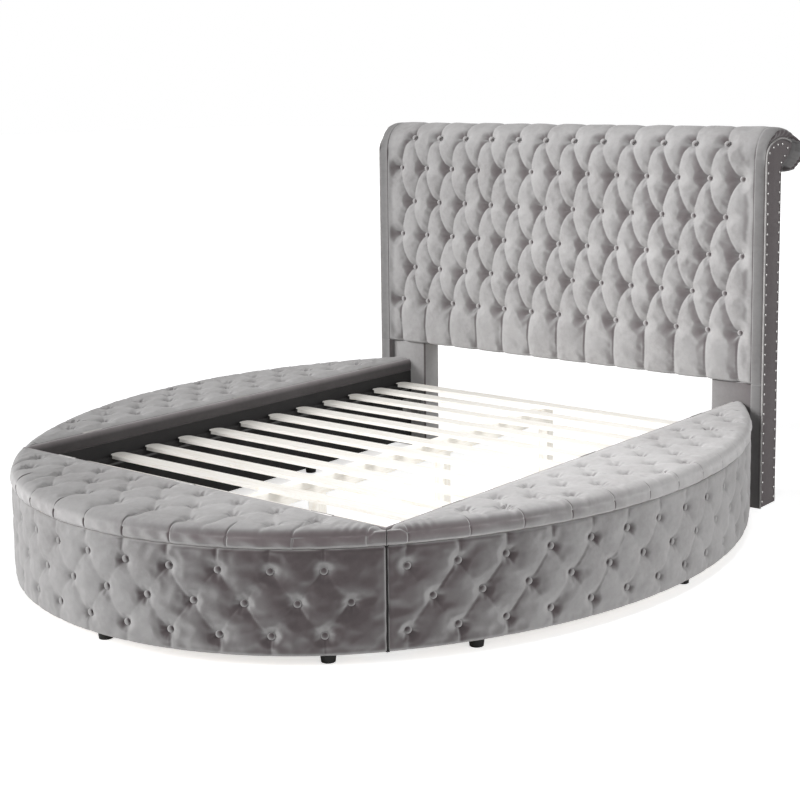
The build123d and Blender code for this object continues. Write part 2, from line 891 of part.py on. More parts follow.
def roll_former():
    """The shaped wooden core of the roll, which stands on the board and the posts."""

    def close(tail):
        drop = (tail.Y - frame_top) / tan(radians(roll_under_slope))
        return [(tail.X - drop, frame_top), (board_front, frame_top)]

    lines = roll_outline(roll_padding, (board_front, roll_spring), close)
    return profile(lines, -wing_inner_x, wing_inner_x)


def roll_solid(x0, x1):
    """The whole roll's section, padding and core, between two stations."""

    def close(tail):
        drop = (tail.X - back_rear) * tan(radians(roll_under_slope))
        return [(back_rear, tail.Y - drop), (back_rear, roll_spring)]

    return profile(roll_outline(0, (board_front, roll_spring), close), x0, x1)


def roll_end():
    """The bulging end of the roll outside the wing."""
    flat = roll_solid(headboard_half_width - seam_gap, headboard_half_width)
    face = flat.faces().sort_by(Axis.X)[-1]
    return extrude(face, roll_end_bulge, dir=(1, 0, 0), taper=roll_end_taper)


def roll_pad():
    """The padding and cloth of the roll, open round its core and round the wings."""
    pad = roll_solid(-headboard_half_width, headboard_half_width)
    ends = roll_end()
    pad = pad + ends + mirrored(ends)
    wing_run = profile(wing_outline()[0], wing_inner_x, headboard_half_width + 2 * roll_end_bulge)
    pad = pad - wing_run - mirrored(wing_run) - roll_former()
    turn = radians(roll_tuft_turn)
    depth = roll_front_radius - roll_dimple_depth + roll_dimple_radius
    y = head_y - pad_crown + roll_front_radius - depth * cos(turn)
    z = roll_spring + depth * sin(turn)
    for column in roll_button_columns():
        pad = pad - Pos(column, y, z) * Sphere(roll_dimple_radius)
    return single(pad)


def roll_button_columns():
    """The top row of the headboard's buttons, half a pitch along from the row below."""
    half = (head_tuft_half_count + 1) // 2
    return [(2 * number + 1) * head_tuft_width / 2 for number in range(-half, half)]


head_rows = [headboard_seam]
head_rows += [head_tuft_low + head_tuft_rise * number for number in range(head_tuft_rows)]
head_rows += [roll_spring]
head_columns = list(range(-head_tuft_half_count - 1, head_tuft_half_count + 2))


def is_head_button(column, row):
    """Staggered rows, of thirteen and twelve buttons in turn."""
    held = 0 < row < len(head_rows) - 1 and abs(column) <= head_tuft_half_count
    return held and (column + row) % 2 == 1


def head_along(column):
    """Place across the headboard of a whole or half column; the last lies at the wing."""
    outermost = head_tuft_half_count * head_tuft_width / 2
    beyond = abs(column) - head_tuft_half_count
    if beyond > 0:
        return copysign(outermost + (wing_inner_x - outermost) * beyond, column)
    return column * head_tuft_width / 2


def head_place(column, row, depth):
    """A point on the headboard's tufted face, the depth behind its crown."""
    low = int(row)
    high = min(low + 1, len(head_rows) - 1)
    z = head_rows[low] + (head_rows[high] - head_rows[low]) * (row - low)
    return (head_along(column), head_y - pad_crown + depth, z)


def headboard_pad():
    """The deep-buttoned front of the headboard."""

    def front(column, row):
        sunk = tufted(column, row, is_head_button, head_tuft_depth, head_valley_share)
        edge = head_edge_draw if row in (0, len(head_rows) - 1) else 0
        return head_place(column, row, sunk + edge)

    def back(column, row):
        return head_place(column, row, pad_crown + board_front)

    return quilt(head_columns, list(range(len(head_rows))), front, back)


def headboard_buttons():
    """The buttons of the headboard's face, and those of the top row on the roll."""
    placed = []
    for column in head_columns:
        for row in range(len(head_rows)):
            if is_head_button(column, row):
                seat = head_place(column, row, head_tuft_depth - button_sag)
                placed.append(Plane(origin=seat, z_dir=(0, -1, 0)).location * button_shape)
    turn = radians(roll_tuft_turn)
    sag = roll_dimple_radius - sqrt(roll_dimple_radius**2 - button_radius**2)
    reach = roll_front_radius - roll_dimple_depth + sag + hinge_play
    for x in roll_button_columns():
        y = head_y - pad_crown + roll_front_radius - reach * cos(turn)
        seat = (x, y, roll_spring + reach * sin(turn))
        placed.append(Plane(origin=seat, z_dir=(0, -cos(turn), sin(turn))).location * button_shape)
    return placed


def headboard_post():
    """The right-hand timber post inside the leg, up to the roll's core."""
    return block(
        leg_inner_x + leg_skin, wing_inner_x - post_gap,
        head_y + board_rear, head_y + post_rear, 0, frame_top,
    )


def headboard_board():
    """The plywood board behind the tufted pad."""
    return block(
        -wing_inner_x, wing_inner_x,
        head_y + board_front, head_y + board_rear, headboard_seam, frame_top,
    )


def cross_rails():
    """Two rails between the posts."""
    reach = leg_inner_x + leg_skin
    rails = []
    for low in (headboard_seam, frame_top - cross_rail_height):
        high = low + cross_rail_height
        rails.append(block(-reach, reach, head_y + board_rear, head_y + post_rear, low, high))
    return rails


def leg_cover():
    """The plain upholstered leg below the headboard's seam, open round its post."""
    shell = block(leg_inner_x, wing_inner_x, head_y, head_y + leg_depth, 0, headboard_seam)
    return single(shell - headboard_post())


def back_cloth():
    """The cloth panel that closes the headboard's back."""
    return block(
        -wing_inner_x, wing_inner_x,
        head_y + post_rear, head_y + back_rear, headboard_seam, frame_top,
    )


def edge_path(inset, blade_share=1):
    """The wing's front edge, drawn in by an inset, from the floor to or towards the blade's tip."""
    foot = Line((-wing_front + inset, 0), (-wing_front + inset, wing_bend_height))
    bend = JernArc(foot @ 1, foot % 1, wing_bend_radius - inset, -wing_bend_turn)
    rising = quarter_turn - wing_bend_turn
    run = wing_blade_tip + wing_front - wing_bend_radius * (1 - cos(radians(wing_bend_turn)))
    radius = run / (sin(radians(rising)) + sin(radians(wing_blade_fall)))
    blade = JernArc(bend @ 1, bend % 1, radius - inset, -(rising + wing_blade_fall) * blade_share)
    return foot, bend, blade


def side_piping():
    """The light cord sewn along the wing's front edge."""
    foot, bend, blade = edge_path(piping_inset, piping_blade_share)
    frame = Plane(origin=(headboard_half_width + piping_radius, head_y, 0), x_dir=(0, 1, 0), z_dir=(1, 0, 0))
    path = frame * Wire([foot.edge(), bend.edge(), blade.edge()])
    start = Plane(origin=path @ 0, z_dir=path % 0)
    return sweep(start * Circle(piping_radius), path)


def nail():
    """A domed nailhead on a flat back, which faces -Z."""
    ball_radius = (nail_radius**2 + nail_height**2) / (2 * nail_height)
    ball = Pos(0, 0, nail_height - ball_radius) * Sphere(ball_radius)
    size = 4 * nail_radius
    return single(ball & Pos(0, 0, nail_height / 2) * Box(size, size, nail_height))


def nail_places():
    """Depth and height of each nail: up the front edge, round the blade and down the back."""
    foot, bend, blade = edge_path(nail_front_inset, nail_blade_share)
    front = Wire([foot.edge(), bend.edge(), blade.edge()])
    tip = front @ 1
    rear_x = wing_rear - nail_rear_inset
    under = [behind_wing(share, lift) for share, lift in zip(nail_return_shares, nail_return_lifts)]
    rear = Polyline((tip.X, tip.Y), *under, (rear_x, frame_top), (rear_x, 0))
    places = []
    count = int((front.length - nail_first) / nail_pitch)
    for number in range(count):
        spot = front.position_at((nail_first + number * nail_pitch) / front.length)
        places.append((spot.X, spot.Y))
    count = int((rear.length - nail_first) / nail_pitch)
    for number in range(count + 1):
        spot = rear.position_at(1 - (nail_first + number * nail_pitch) / rear.length)
        places.append((spot.X, spot.Y))
    return places


def nailheads():
    """Two rows of bright nails on each wing."""
    shape = nail()
    placed = []
    for depth, height in nail_places():
        seat = (headboard_half_width, head_y + depth, height)
        placed.append(Plane(origin=seat, z_dir=(1, 0, 0)).location * shape)
    return placed + [mirrored(piece) for piece in placed]


# Build and write every node

foot_lid_half_columns = int(bench_corner[0] / (lid_tuft_width / 2)) + 2
side_lid_half_columns = int((head_y - side_middle_y) / (lid_tuft_width / 2)) + 2
foot_lid_columns = list(range(-foot_lid_half_columns, foot_lid_half_columns + 1))
side_lid_columns = list(range(-side_lid_half_columns, side_lid_half_columns + 1))

foot_board = foot_strip(0, rail_thickness, foot_height, wall_top)
foot_rail = drilled(foot_board & foot_zone(0, seam_gap / 2, foot_height, wall_top))
side_board = side_strip(0, rail_thickness, foot_height, wall_top)
side_rail = drilled(side_board & side_zone(0, seam_gap / 2, foot_height, wall_top))
foot_cap = foot_strip(0, rail_thickness, wall_top, cap_top, cap_round)
foot_cap = foot_cap & foot_zone(0, seam_gap / 2, wall_top, cap_top)
side_cap = side_strip(0, rail_thickness, wall_top, cap_top, cap_round)
side_cap = side_cap & side_zone(0, seam_gap / 2, wall_top, cap_top)
foot_cap = with_pockets(foot_cap, foot_hinge_places(), True)
side_cap = with_pockets(side_cap, side_hinge_places(), True)


def side_lid_zone(inset, gap, z0, z1):
    """The right lid's plan, which stops short of the headboard."""
    return side_zone(inset, gap, z0, z1, lid_head_gap)


foot_lid_board = lid_board(foot_arc, foot_zone, foot_strip)
side_lid_board = lid_board(side_arc, side_lid_zone, side_strip)
foot_lid_pad = lid_pad(False, foot_arc, foot_zone, foot_lid_columns, foot_lid_board)
side_lid_pad = lid_pad(True, side_arc, side_lid_zone, side_lid_columns, side_lid_board)
foot_lid_board = with_pockets(foot_lid_board, foot_hinge_places(), False)
side_lid_board = with_pockets(side_lid_board, side_hinge_places(), False)
foot_lid_pad = with_pockets(foot_lid_pad, foot_hinge_places(), False)
side_lid_pad = with_pockets(side_lid_pad, side_hinge_places(), False)

foot_cover = bench_cover(foot_arc, foot_zone, foot_start_angle, foot_columns)
side_cover = bench_cover(side_arc, side_zone, side_start_angle, side_columns)
side_wall = bench_wall(side_arc, side_zone)
head_end = block(0, overall_length, head_y - end_panel_thickness, head_y + overrun, 0, wall_top)
side_wall = single(side_wall - head_end)
side_floor = bench_floor(side_arc, side_zone, end_panel_thickness)
end_panel = head_end_panel()

save("foot_bench_wall", bench_wall(foot_arc, foot_zone))
save("foot_bench_floor", bench_floor(foot_arc, foot_zone))
save("foot_bench_rail", foot_rail)
save("foot_bench_cover", foot_cover)
save("foot_lid_board", foot_lid_board)
save("foot_lid_pad", foot_lid_pad)
save("foot_lid_buttons", *lid_buttons(False, foot_lid_columns))
for side, turned in (("right", lambda piece: piece), ("left", mirrored)):
    save(f"{side}_bench_wall", turned(side_wall), turned(end_panel))
    save(f"{side}_bench_floor", turned(side_floor))
    save(f"{side}_bench_rail", turned(side_rail))
    save(f"{side}_bench_cover", turned(side_cover))
    save(f"{side}_lid_board", turned(side_lid_board))
    save(f"{side}_lid_pad", turned(side_lid_pad))
    save(f"{side}_lid_buttons", *[turned(piece) for piece in lid_buttons(True, side_lid_columns)])
    save(f"{side}_lid_leaves", *[turned(place * hinge_leaf(False)) for place in side_hinge_places()])
    save(f"{side}_wing", turned(wing()))
save("foot_lid_leaves", *[place * hinge_leaf(False) for place in foot_hinge_places()])
save("rail_caps", foot_cap, side_cap, mirrored(side_cap))

fixed_leaves = [place * hinge_leaf(True) for place in side_hinge_places()]
pins = [place * hinge_pin() for place in side_hinge_places()]
save(
    "frame_leaves",
    *[place * hinge_leaf(True) for place in foot_hinge_places()],
    *fixed_leaves,
    *[mirrored(leaf) for leaf in fixed_leaves],
)
save(
    "hinge_pins",
    *[place * hinge_pin() for place in foot_hinge_places()],
    *pins,
    *[mirrored(pin) for pin in pins],
)
side_cover_buttons = cover_buttons(side_arc, side_start_angle, side_button_columns)
save(
    "cover_buttons",
    *cover_buttons(foot_arc, foot_start_angle, foot_button_columns),
    *side_cover_buttons,
    *[mirrored(piece) for piece in side_cover_buttons],
)
save("bench_feet", *bench_feet())
save("joining_hardware", *joining_hardware())

for number in range(slat_count):
    save(f"slat_{number + 1:02d}", slat(number))
save("slat_caps", *slat_caps())
save("slat_ledges", *slat_ledges())
save("slat_tapes", *slat_tapes())
save("centre_rail", centre_rail())
save("centre_legs", *centre_legs())

post = drilled(headboard_post(), mirror_too=False)
cover = drilled(leg_cover(), mirror_too=False)
save("headboard_posts", post, mirrored(post))
save("leg_covers", cover, mirrored(cover))
save("headboard_board", headboard_board())
save("cross_rails", *cross_rails())
save("roll_former", roll_former())
save("roll_pad", roll_pad())
save("headboard_pad", headboard_pad())
save("headboard_buttons", *headboard_buttons())
save("back_cloth", back_cloth())
save("side_piping", side_piping(), mirrored(side_piping()))
save("nailheads", *nailheads())

print("head_y", head_y, "foot_inner_y", foot_inner_y, "side_middle_y", side_middle_y)
print("foot_arc", foot_arc, "side_arc", side_arc)
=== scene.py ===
# %% [markdown]
# # A round storage bed in buttoned velvet
# Three padded benches with hinged lids stand round a slatted recess, and a tall
# deep-buttoned headboard with a rolled top closes the fourth side. The construction is
# loaded as a fixed frame. This script gives every soft piece its sewn shape and every
# surface its finish.

import math

import bpy
import numpy as np
from mathutils import Matrix, Vector


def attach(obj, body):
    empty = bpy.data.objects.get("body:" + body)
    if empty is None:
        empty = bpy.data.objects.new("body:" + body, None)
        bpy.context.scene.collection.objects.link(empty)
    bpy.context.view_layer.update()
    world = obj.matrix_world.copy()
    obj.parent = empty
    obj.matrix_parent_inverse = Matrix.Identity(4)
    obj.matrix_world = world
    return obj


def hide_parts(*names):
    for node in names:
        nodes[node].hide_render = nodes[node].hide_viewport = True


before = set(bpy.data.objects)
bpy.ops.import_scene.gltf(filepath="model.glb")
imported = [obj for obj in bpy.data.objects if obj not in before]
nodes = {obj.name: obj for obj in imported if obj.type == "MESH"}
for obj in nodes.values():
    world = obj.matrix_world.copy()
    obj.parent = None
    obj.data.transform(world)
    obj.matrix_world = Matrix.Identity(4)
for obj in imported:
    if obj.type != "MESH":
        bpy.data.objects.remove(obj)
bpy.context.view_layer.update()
print("pieces in the frame:", len(nodes))

# %% [markdown]
# ## Sizes shared by many pieces
# All lengths are in metres. The recess takes the mattress, the benches' outer faces lie
# on true arcs, and the benches meet in mitres that start at the recess's corners.

# %% Plan of the bed
RECESS_HALF = 0.790
FOOT_Y = -0.956
HEAD_Y = 1.100
CORNER = (0.810, -0.975)
FOOT_APEX_Y = -1.366
SIDE_APEX_X = 1.184
SIDE_HEAD_X = 0.8515
FOOT_HEIGHT = 0.036
WALL_TOP = 0.344
CAP_TOP = 0.3946
LID_TOP = 0.403
LID_INSET = 0.019


def circle_through(first, middle, last):
    """Centre and radius of the circle through three points in plan."""
    (ax, ay), (bx, by), (cx, cy) = first, middle, last
    twice = 2 * (ax * (by - cy) + bx * (cy - ay) + cx * (ay - by))
    a2, b2, c2 = ax * ax + ay * ay, bx * bx + by * by, cx * cx + cy * cy
    x = (a2 * (by - cy) + b2 * (cy - ay) + c2 * (ay - by)) / twice
    y = (a2 * (cx - bx) + b2 * (ax - cx) + c2 * (bx - ax)) / twice
    return x, y, math.hypot(ax - x, ay - y)


def on_arc(arc, angle):
    """Points of an arc in plan."""
    return np.stack([arc[0] + arc[2] * np.cos(angle), arc[1] + arc[2] * np.sin(angle)], -1)


def angle_on(arc, place):
    """A place's angle round an arc's centre, from +X."""
    return math.atan2(place[1] - arc[1], place[0] - arc[0])


foot_arc = circle_through((-CORNER[0], CORNER[1]), (0, FOOT_APEX_Y), CORNER)
side_arc = circle_through(CORNER, (SIDE_APEX_X, (CORNER[1] + HEAD_Y) / 2), (SIDE_HEAD_X, HEAD_Y))
print("foot arc", foot_arc, "side arc", side_arc)

# %% [markdown]
# ## Small tools
# The covers are long padded forms, so each is made as rings of points that follow one
# another along its length, joined into one closed skin. Rings give every pleat real
# geometry, which a bump map couldn't.

# %% Joining rings into a closed skin


def placed(name, data):
    """A new object in the scene from a mesh, a light or a camera."""
    piece = bpy.data.objects.new(name, data)
    bpy.context.scene.collection.objects.link(piece)
    return piece


def smooth_piece(name, points, faces):
    """A new object with a smooth-shaded mesh."""
    mesh = bpy.data.meshes.new(name)
    mesh.from_pydata(points, [], faces)
    mesh.polygons.foreach_set("use_smooth", np.ones(len(mesh.polygons), dtype=bool))
    return placed(name, mesh)


def points_of(mesh):
    """A mesh's points as an array."""
    points = np.empty(len(mesh.vertices) * 3)
    mesh.vertices.foreach_get("co", points)
    return points.reshape(-1, 3)


def ring_faces(count, around):
    """Faces that join rings of points, with the first and the last ring closed."""
    index = np.arange(count * around).reshape(count, around)
    near, far = index[:-1], index[1:]
    quads = np.stack([near, np.roll(near, -1, 1), np.roll(far, -1, 1), far], -1)
    return quads.reshape(-1, 4).tolist() + [index[0][::-1].tolist(), index[-1].tolist()]


def skin(name, rings):
    """A closed mesh through rings of points, given as an array (ring, point, 3)."""
    piece = smooth_piece(name, rings.reshape(-1, 3).tolist(), ring_faces(*rings.shape[:2]))
    mesh = piece.data
    # The faces are turned outward, judged by the sign of the volume.
    mesh.calc_loop_triangles()
    triangles = np.empty(len(mesh.loop_triangles) * 3, dtype=int)
    mesh.loop_triangles.foreach_get("vertices", triangles)
    a, b, c = points_of(mesh)[triangles.reshape(-1, 3).T]
    if np.einsum("ij,ij->i", a, np.cross(b, c)).sum() < 0:
        mesh.flip_normals()
    mesh.update()
    return piece


def mirrored(piece, name):
    """The left-hand copy of a right-hand piece."""
    mesh = piece.data.copy()
    mesh.transform(Matrix.Scale(-1, 4, (1, 0, 0)))
    mesh.flip_normals()
    mesh.name = name
    return placed(name, mesh)


SAME_SOLID = 0.012


def islands(node):
    """Middle of each separate solid in a node, read from the frame."""
    mesh = nodes[node].data
    parent = list(range(len(mesh.vertices)))

    def root(k):
        while parent[k] != k:
            parent[k] = parent[parent[k]]
            k = parent[k]
        return k

    for edge in mesh.edges:
        a, b = map(root, edge.vertices)
        parent[a] = b
    groups = {}
    for vertex in mesh.vertices:
        groups.setdefault(root(vertex.index), []).append(vertex.co)
    # A mesh may be stored in pieces per face, so groups with nearly one middle are one solid.
    solids = []
    for points in groups.values():
        middle = Vector([(min(values) + max(values)) / 2 for values in zip(*points)])
        near = [solid for solid in solids if (solid[0] - middle).length < SAME_SOLID]
        if near:
            near[0].append(middle)
        else:
            solids.append([middle])
    return [sum(solid, Vector()) / len(solid) for solid in solids]


cover_seats = islands("cover_buttons")
head_seats = islands("headboard_buttons")
lid_seats = {side: islands(f"{side}_lid_buttons") for side in ("foot", "right")}
nail_seats = [seat for seat in islands("nailheads") if seat.x > 0]
print("buttons", len(cover_seats), len(head_seats), {k: len(v) for k, v in lid_seats.items()})
print("nails on one wing", len(nail_seats))

# %% [markdown]
# ## How tufted velvet lies
# A button pulls the cloth deep into the padding and leaves a funnel round it. Between
# neighbouring buttons the spare cloth is folded into a pleat, so each diamond bulges like
# a small pillow and overlaps the next one a little along the fold. The drop below the
# crown is worked out from the distance to the nearest button and to the nearest fold.

# %% Smooth steps, waves and rounded edges


def ramp(value, start, end):
    """0 before start, 1 after end, smooth between them."""
    share = np.clip((value - start) / (end - start), 0, 1)
    return share * share * (3 - 2 * share)


def between(value, start, full, fading, end):
    """1 from full to fading, smoothly down to 0 at start and at end."""
    return ramp(value, start, full) * (1 - ramp(value, fading, end))


def ruffle(s, t, seed, size=0.07, amount=0.0012):
    """Slow unevenness of hand-filled padding, as a sum of a few waves."""
    random = np.random.default_rng(seed)
    total = np.zeros_like(s)
    for _ in range(7):
        turn = random.uniform(0, math.pi)
        length = size * random.uniform(0.6, 2.2)
        phase = random.uniform(0, 2 * math.pi)
        total += np.sin((s * math.cos(turn) + t * math.sin(turn)) * 2 * math.pi / length + phase)
    return amount * total / 2.6


def spaced(start, end, step, ends=(0.0006, 0.0018, 0.0036, 0.006)):
    """Stations from start to end, close together at both ends, where the form rolls over."""
    inner = np.arange(start + ends[-1] + step, end - ends[-1] - step / 2, step)
    first = [start] + [start + gap for gap in ends]
    last = [end - gap for gap in reversed(ends)] + [end]
    return np.array(first + list(inner) + last)


def rolled(distance, radius):
    """How far a surface draws in this close to an edge with a rounded corner."""
    share = np.clip(1 - distance / radius, 0, 1)
    return radius * (1 - np.sqrt(1 - share * share))


# %% Funnels, folds and the small step of a pleat


def along_fold(s, t, start, end):
    """Distance to a straight fold, the side of it, and how far along it, 0 to 1."""
    ds, dt = end[0] - start[0], end[1] - start[1]
    length = math.hypot(ds, dt)
    s, t = s - start[0], t - start[1]
    share = np.clip((s * ds + t * dt) / length**2, 0, 1)
    return np.hypot(s - share * ds, t - share * dt), np.sign(ds * t - dt * s), share


def bowed(start, end, bow, skew=1.0):
    """Points along a fold that bows to one side, as spare cloth does."""
    run = np.subtract(end, start)
    side = np.array([-run[1], run[0]]) / math.hypot(*run)
    steps = np.linspace(0, 1, 7)
    return [np.add(start, run * k) + side * bow * math.sin(math.pi * k**skew) for k in steps]


def around(s, t, a, b, reach):
    """Which points of the pattern lie within reach of the box between two places."""
    near = np.abs(s - (a[0] + b[0]) / 2) < abs(a[0] - b[0]) / 2 + reach
    return near & (np.abs(t - (a[1] + b[1]) / 2) < abs(a[1] - b[1]) / 2 + reach)


class Tufting:
    """The buttons and folds of one cover, on its own flat pattern."""

    def __init__(self, buttons, half_pitch, rise, look, seed):
        self.buttons = np.array(buttons)
        self.look = look
        self.folds = []
        self.random = np.random.default_rng(seed)
        for a in self.buttons:
            for b in self.buttons:
                ds, dt = b - a
                aside = abs(abs(ds) - half_pitch) < half_pitch * 0.35
                if dt > 0 and abs(dt - rise) < rise * 0.25 and aside:
                    self.cross_fold(a, b, ds > 0)

    def cross_fold(self, a, b, rising):
        """A fold between a button and a neighbour in the next row."""
        look = self.look
        least, most, weight = look["rising"] if rising else look["falling"]
        sway = look["bow"] + self.random.uniform(-1, 1) * look["sway"]
        middle = look["middle"] * self.random.uniform(0.6, 1.4) * weight
        crisp = self.random.uniform(least, most)
        self.folds.append((bowed(a, b, sway, 1.7 if rising else 0.6), middle, 1.0, crisp, look["step"]))

    def edge_fold(self, start, end, middle=0.2, far=0.35, crisp=1.0, step=1.0):
        """A pleat from a button out to the cover's edge, where it fades."""
        points = bowed(start, end, self.random.uniform(-0.004, 0.004))
        self.folds.append((points, middle, far, crisp, self.look["step"] * step))

    def drop(self, s, t):
        """How far the cloth lies below its crown at points of the pattern."""
        look = self.look
        low, extra, gathers = (np.zeros_like(s) for _ in range(3))
        reach = look["fold"]
        for points, middle, far, crisp, step in self.folds:
            for k, (a, b) in enumerate(zip(points, points[1:])):
                near = around(s, t, a, b, reach)
                if not near.any():
                    continue
                gap, side, share = along_fold(s[near], t[near], a, b)
                along = 2 * ((k + share) / (len(points) - 1)) - 1
                fade = 1 + (far - 1) * np.clip(along, 0, 1)
                strength = (middle + (0.9 - middle) * np.abs(along) ** 2.4) * fade
                flank = np.clip(1 - gap / reach, 0, 1) ** look["flank"]
                low[near] = np.maximum(low[near], strength * flank)
                groove = look["groove"] * np.exp(-((gap / look["line"]) ** 2))
                lap = step * side * np.exp(-gap / look["lap"]) * np.clip(gap / 0.001, 0, 1)
                value, current = crisp * fade * (groove + lap), extra[near]
                extra[near] = np.where(np.abs(value) > np.abs(current), value, current)
        reach, flat = look["pit"], 0.006
        for button in self.buttons:
            near = around(s, t, button, button, reach)
            if not near.any():
                continue
            ds, dt = s[near] - button[0], t[near] - button[1]
            gap, turn = np.hypot(ds, dt), np.arctan2(dt, ds)
            funnel = np.clip(1 - np.maximum(gap - flat, 0) / (reach - flat), 0, 1)
            low[near] = (low[near] ** 5 + (funnel ** look["funnel"]) ** 5) ** 0.2
            phase = self.random.uniform(0, 6.28, 3)
            ripple = np.abs(np.sin(3.5 * turn + phase[0])) + 0.6 * np.abs(np.sin(5.5 * turn + phase[1]))
            fade = np.exp(-(((gap - look["wrinkle_at"]) / look["wrinkle_run"]) ** 2))
            gathers[near] += (1.0 - ripple) * fade * (1 + 0.5 * math.sin(phase[2]))
            extra[near] *= ramp(gap, 0.008, 0.022)
        return look["depth"] * np.minimum(low, 1) + look["wrinkle"] * gathers + extra


HEAD_LOOK = dict(
    depth=0.029, pit=0.062, funnel=2.0, fold=0.036, flank=2.0, middle=0.15, sway=0.003, bow=0.009,
    rising=(0.35, 1.0, 1.2), falling=(0.2, 0.8, 0.9), groove=0.0021, line=0.0024, step=0.0015,
    lap=0.010, wrinkle=0.0012, wrinkle_at=0.018, wrinkle_run=0.010,
)
COVER_LOOK = dict(
    depth=0.0145, pit=0.039, funnel=1.9, fold=0.025, flank=1.8, middle=0.03, sway=0.002, bow=0.003,
    rising=(0.2, 1.0, 1.1), falling=(0.1, 0.8, 1.0), groove=0.0014, line=0.0022, step=0.0009,
    lap=0.010, wrinkle=0.0011, wrinkle_at=0.018, wrinkle_run=0.010,
)
LID_LOOK = dict(
    depth=0.0185, pit=0.038, funnel=1.9, fold=0.025, flank=1.8, middle=0.05, sway=0.004, bow=0.003,
    rising=(0.0, 0.8, 1.1), falling=(0.0, 0.6, 1.0), groove=0.0014, line=0.0028, step=0.0012,
    lap=0.012, wrinkle=0.0038, wrinkle_at=0.021, wrinkle_run=0.011,
)

# %% [markdown]
# ## Filling the padding out
# On the real bed the wadding presses the cloth outward from behind, and it stays where
# buttons, pleats and seams hold it. Blender's cloth solver does the same here: a coarser
# copy of each tufted sheet gets pressure from behind and a little spare cloth, held in
# the pits and along its edges. How far each point moved, capped, is then carried over to
# the fine sheet, which keeps its sharp pleats.

# %% Cloth pressure on a tufted sheet
STRIDE = 3
FRAMES = 20
CLOTH = dict(
    quality=5, mass=0.3, air_damping=6, tension_stiffness=12, compression_stiffness=12,
    shear_stiffness=4, bending_stiffness=0.4, vertex_group_mass="held", use_pressure=True,
)


def held_at(sunk, pits, width, *borders):
    """1 where the pits and the borders hold the cloth, 0 where it's free."""
    held = ramp(sunk, *pits)
    for border in borders:
        held = np.maximum(held, 1 - ramp(border, *width))
    return held


def thinned(count):
    """Every third index, with the last one."""
    return np.append(np.arange(0, count - 1, STRIDE), count - 1)


def stretched(moves, known, count):
    """Moves of the coarse grid's lines, carried to every line of the fine grid."""
    lines = moves.reshape(len(known), -1).T
    full = np.stack([np.interp(np.arange(count), known, line) for line in lines], -1)
    return full.reshape(count, *moves.shape[1:])


def filled(name, sheet, held, pressure, spare, cap):
    """The sheet after twenty frames of pressure; held is 1 where the cloth can't move."""
    scene = bpy.context.scene
    rows, columns = map(thinned, sheet.shape[:2])
    coarse = sheet[np.ix_(rows, columns)]
    width = len(columns)
    corner = (np.arange(len(rows) - 1)[:, None] * width + np.arange(width - 1)).ravel()
    faces = np.stack([corner, corner + width, corner + width + 1, corner + 1], -1)
    mesh = bpy.data.meshes.new(name)
    mesh.from_pydata(coarse.reshape(-1, 3).tolist(), [], faces.tolist())
    piece = placed(name, mesh)
    group = piece.vertex_groups.new(name="held")
    levels = np.round(held[np.ix_(rows, columns)].ravel() * 20).astype(int)
    for level in range(1, 21):
        group.add(np.flatnonzero(levels == level).tolist(), level / 20, "REPLACE")
    cloth = piece.modifiers.new("stuffing", "CLOTH")
    for setting, value in CLOTH.items():
        setattr(cloth.settings, setting, value)
    cloth.settings.shrink_min = -spare
    cloth.settings.uniform_pressure_force = pressure
    cloth.settings.effector_weights.gravity = 0
    cloth.collision_settings.use_collision = False
    cloth.point_cache.frame_start = 1
    cloth.point_cache.frame_end = FRAMES
    for moment in range(1, FRAMES + 1):
        scene.frame_set(moment)
    shaped = piece.evaluated_get(bpy.context.evaluated_depsgraph_get()).data
    moves = points_of(shaped).reshape(coarse.shape) - coarse
    bpy.data.objects.remove(piece)
    bpy.data.meshes.remove(mesh)
    scene.frame_set(1)
    travel = np.linalg.norm(moves, axis=-1, keepdims=True)
    print(name, "points", len(levels), "moved at most", round(float(travel.max()), 4), "m")
    moves = moves * np.minimum(1, cap / np.maximum(travel, 1e-9))
    for known, count in ((rows, sheet.shape[0]), (columns, sheet.shape[1])):
        moves = stretched(moves, known, count).swapaxes(0, 1)
    # The moves are evened out both ways, so that the coarse copy's facets don't show.
    for _ in range(6):
        padded = np.concatenate([moves[:1], moves, moves[-1:]])
        moves = (moves / 2 + (padded[:-2] + padded[2:]) / 4).swapaxes(0, 1)
    return sheet + moves


# %% [markdown]
# ## Velvet and the other finishes
# Velvet's pile is short upright fibre. It looks dark head-on and light at grazing angles,
# so its colour follows the angle it's seen at, as painted sheen. Stroked pile leans in
# patches, so the colour wanders slowly, and a very fine bump stands for the pile itself.

# %% Building a material


def feed(tree, node, inputs):
    """Gives each input a value or another node's output."""
    for socket, value in inputs.items():
        if isinstance(value, bpy.types.NodeSocket):
            tree.links.new(value, node.inputs[socket])
        else:
            node.inputs[socket].default_value = value


def add_node(tree, kind, inputs=None, **settings):
    """A new node with its settings and inputs."""
    node = tree.nodes.new(f"ShaderNode{kind}")
    for setting, value in settings.items():
        setattr(node, setting, value)
    feed(tree, node, inputs or {})
    return node


def new_material(name):
    """An empty material with its shader and a position to drive patterns."""
    material = bpy.data.materials.new(name)
    material.use_nodes = True
    tree = material.node_tree
    return material, tree, tree.nodes["Principled BSDF"], add_node(tree, "TexCoord").outputs["Object"]


def noise(tree, place, scale, detail=2.0, roughness=0.5, stretch=None):
    """A noise pattern at a scale, stretched along an axis where asked."""
    if stretch:
        place = add_node(tree, "Mapping", {"Scale": stretch, "Vector": place}).outputs["Vector"]
    inputs = {"Scale": scale, "Detail": detail, "Roughness": roughness, "Vector": place}
    return add_node(tree, "TexNoise", inputs).outputs["Fac"]


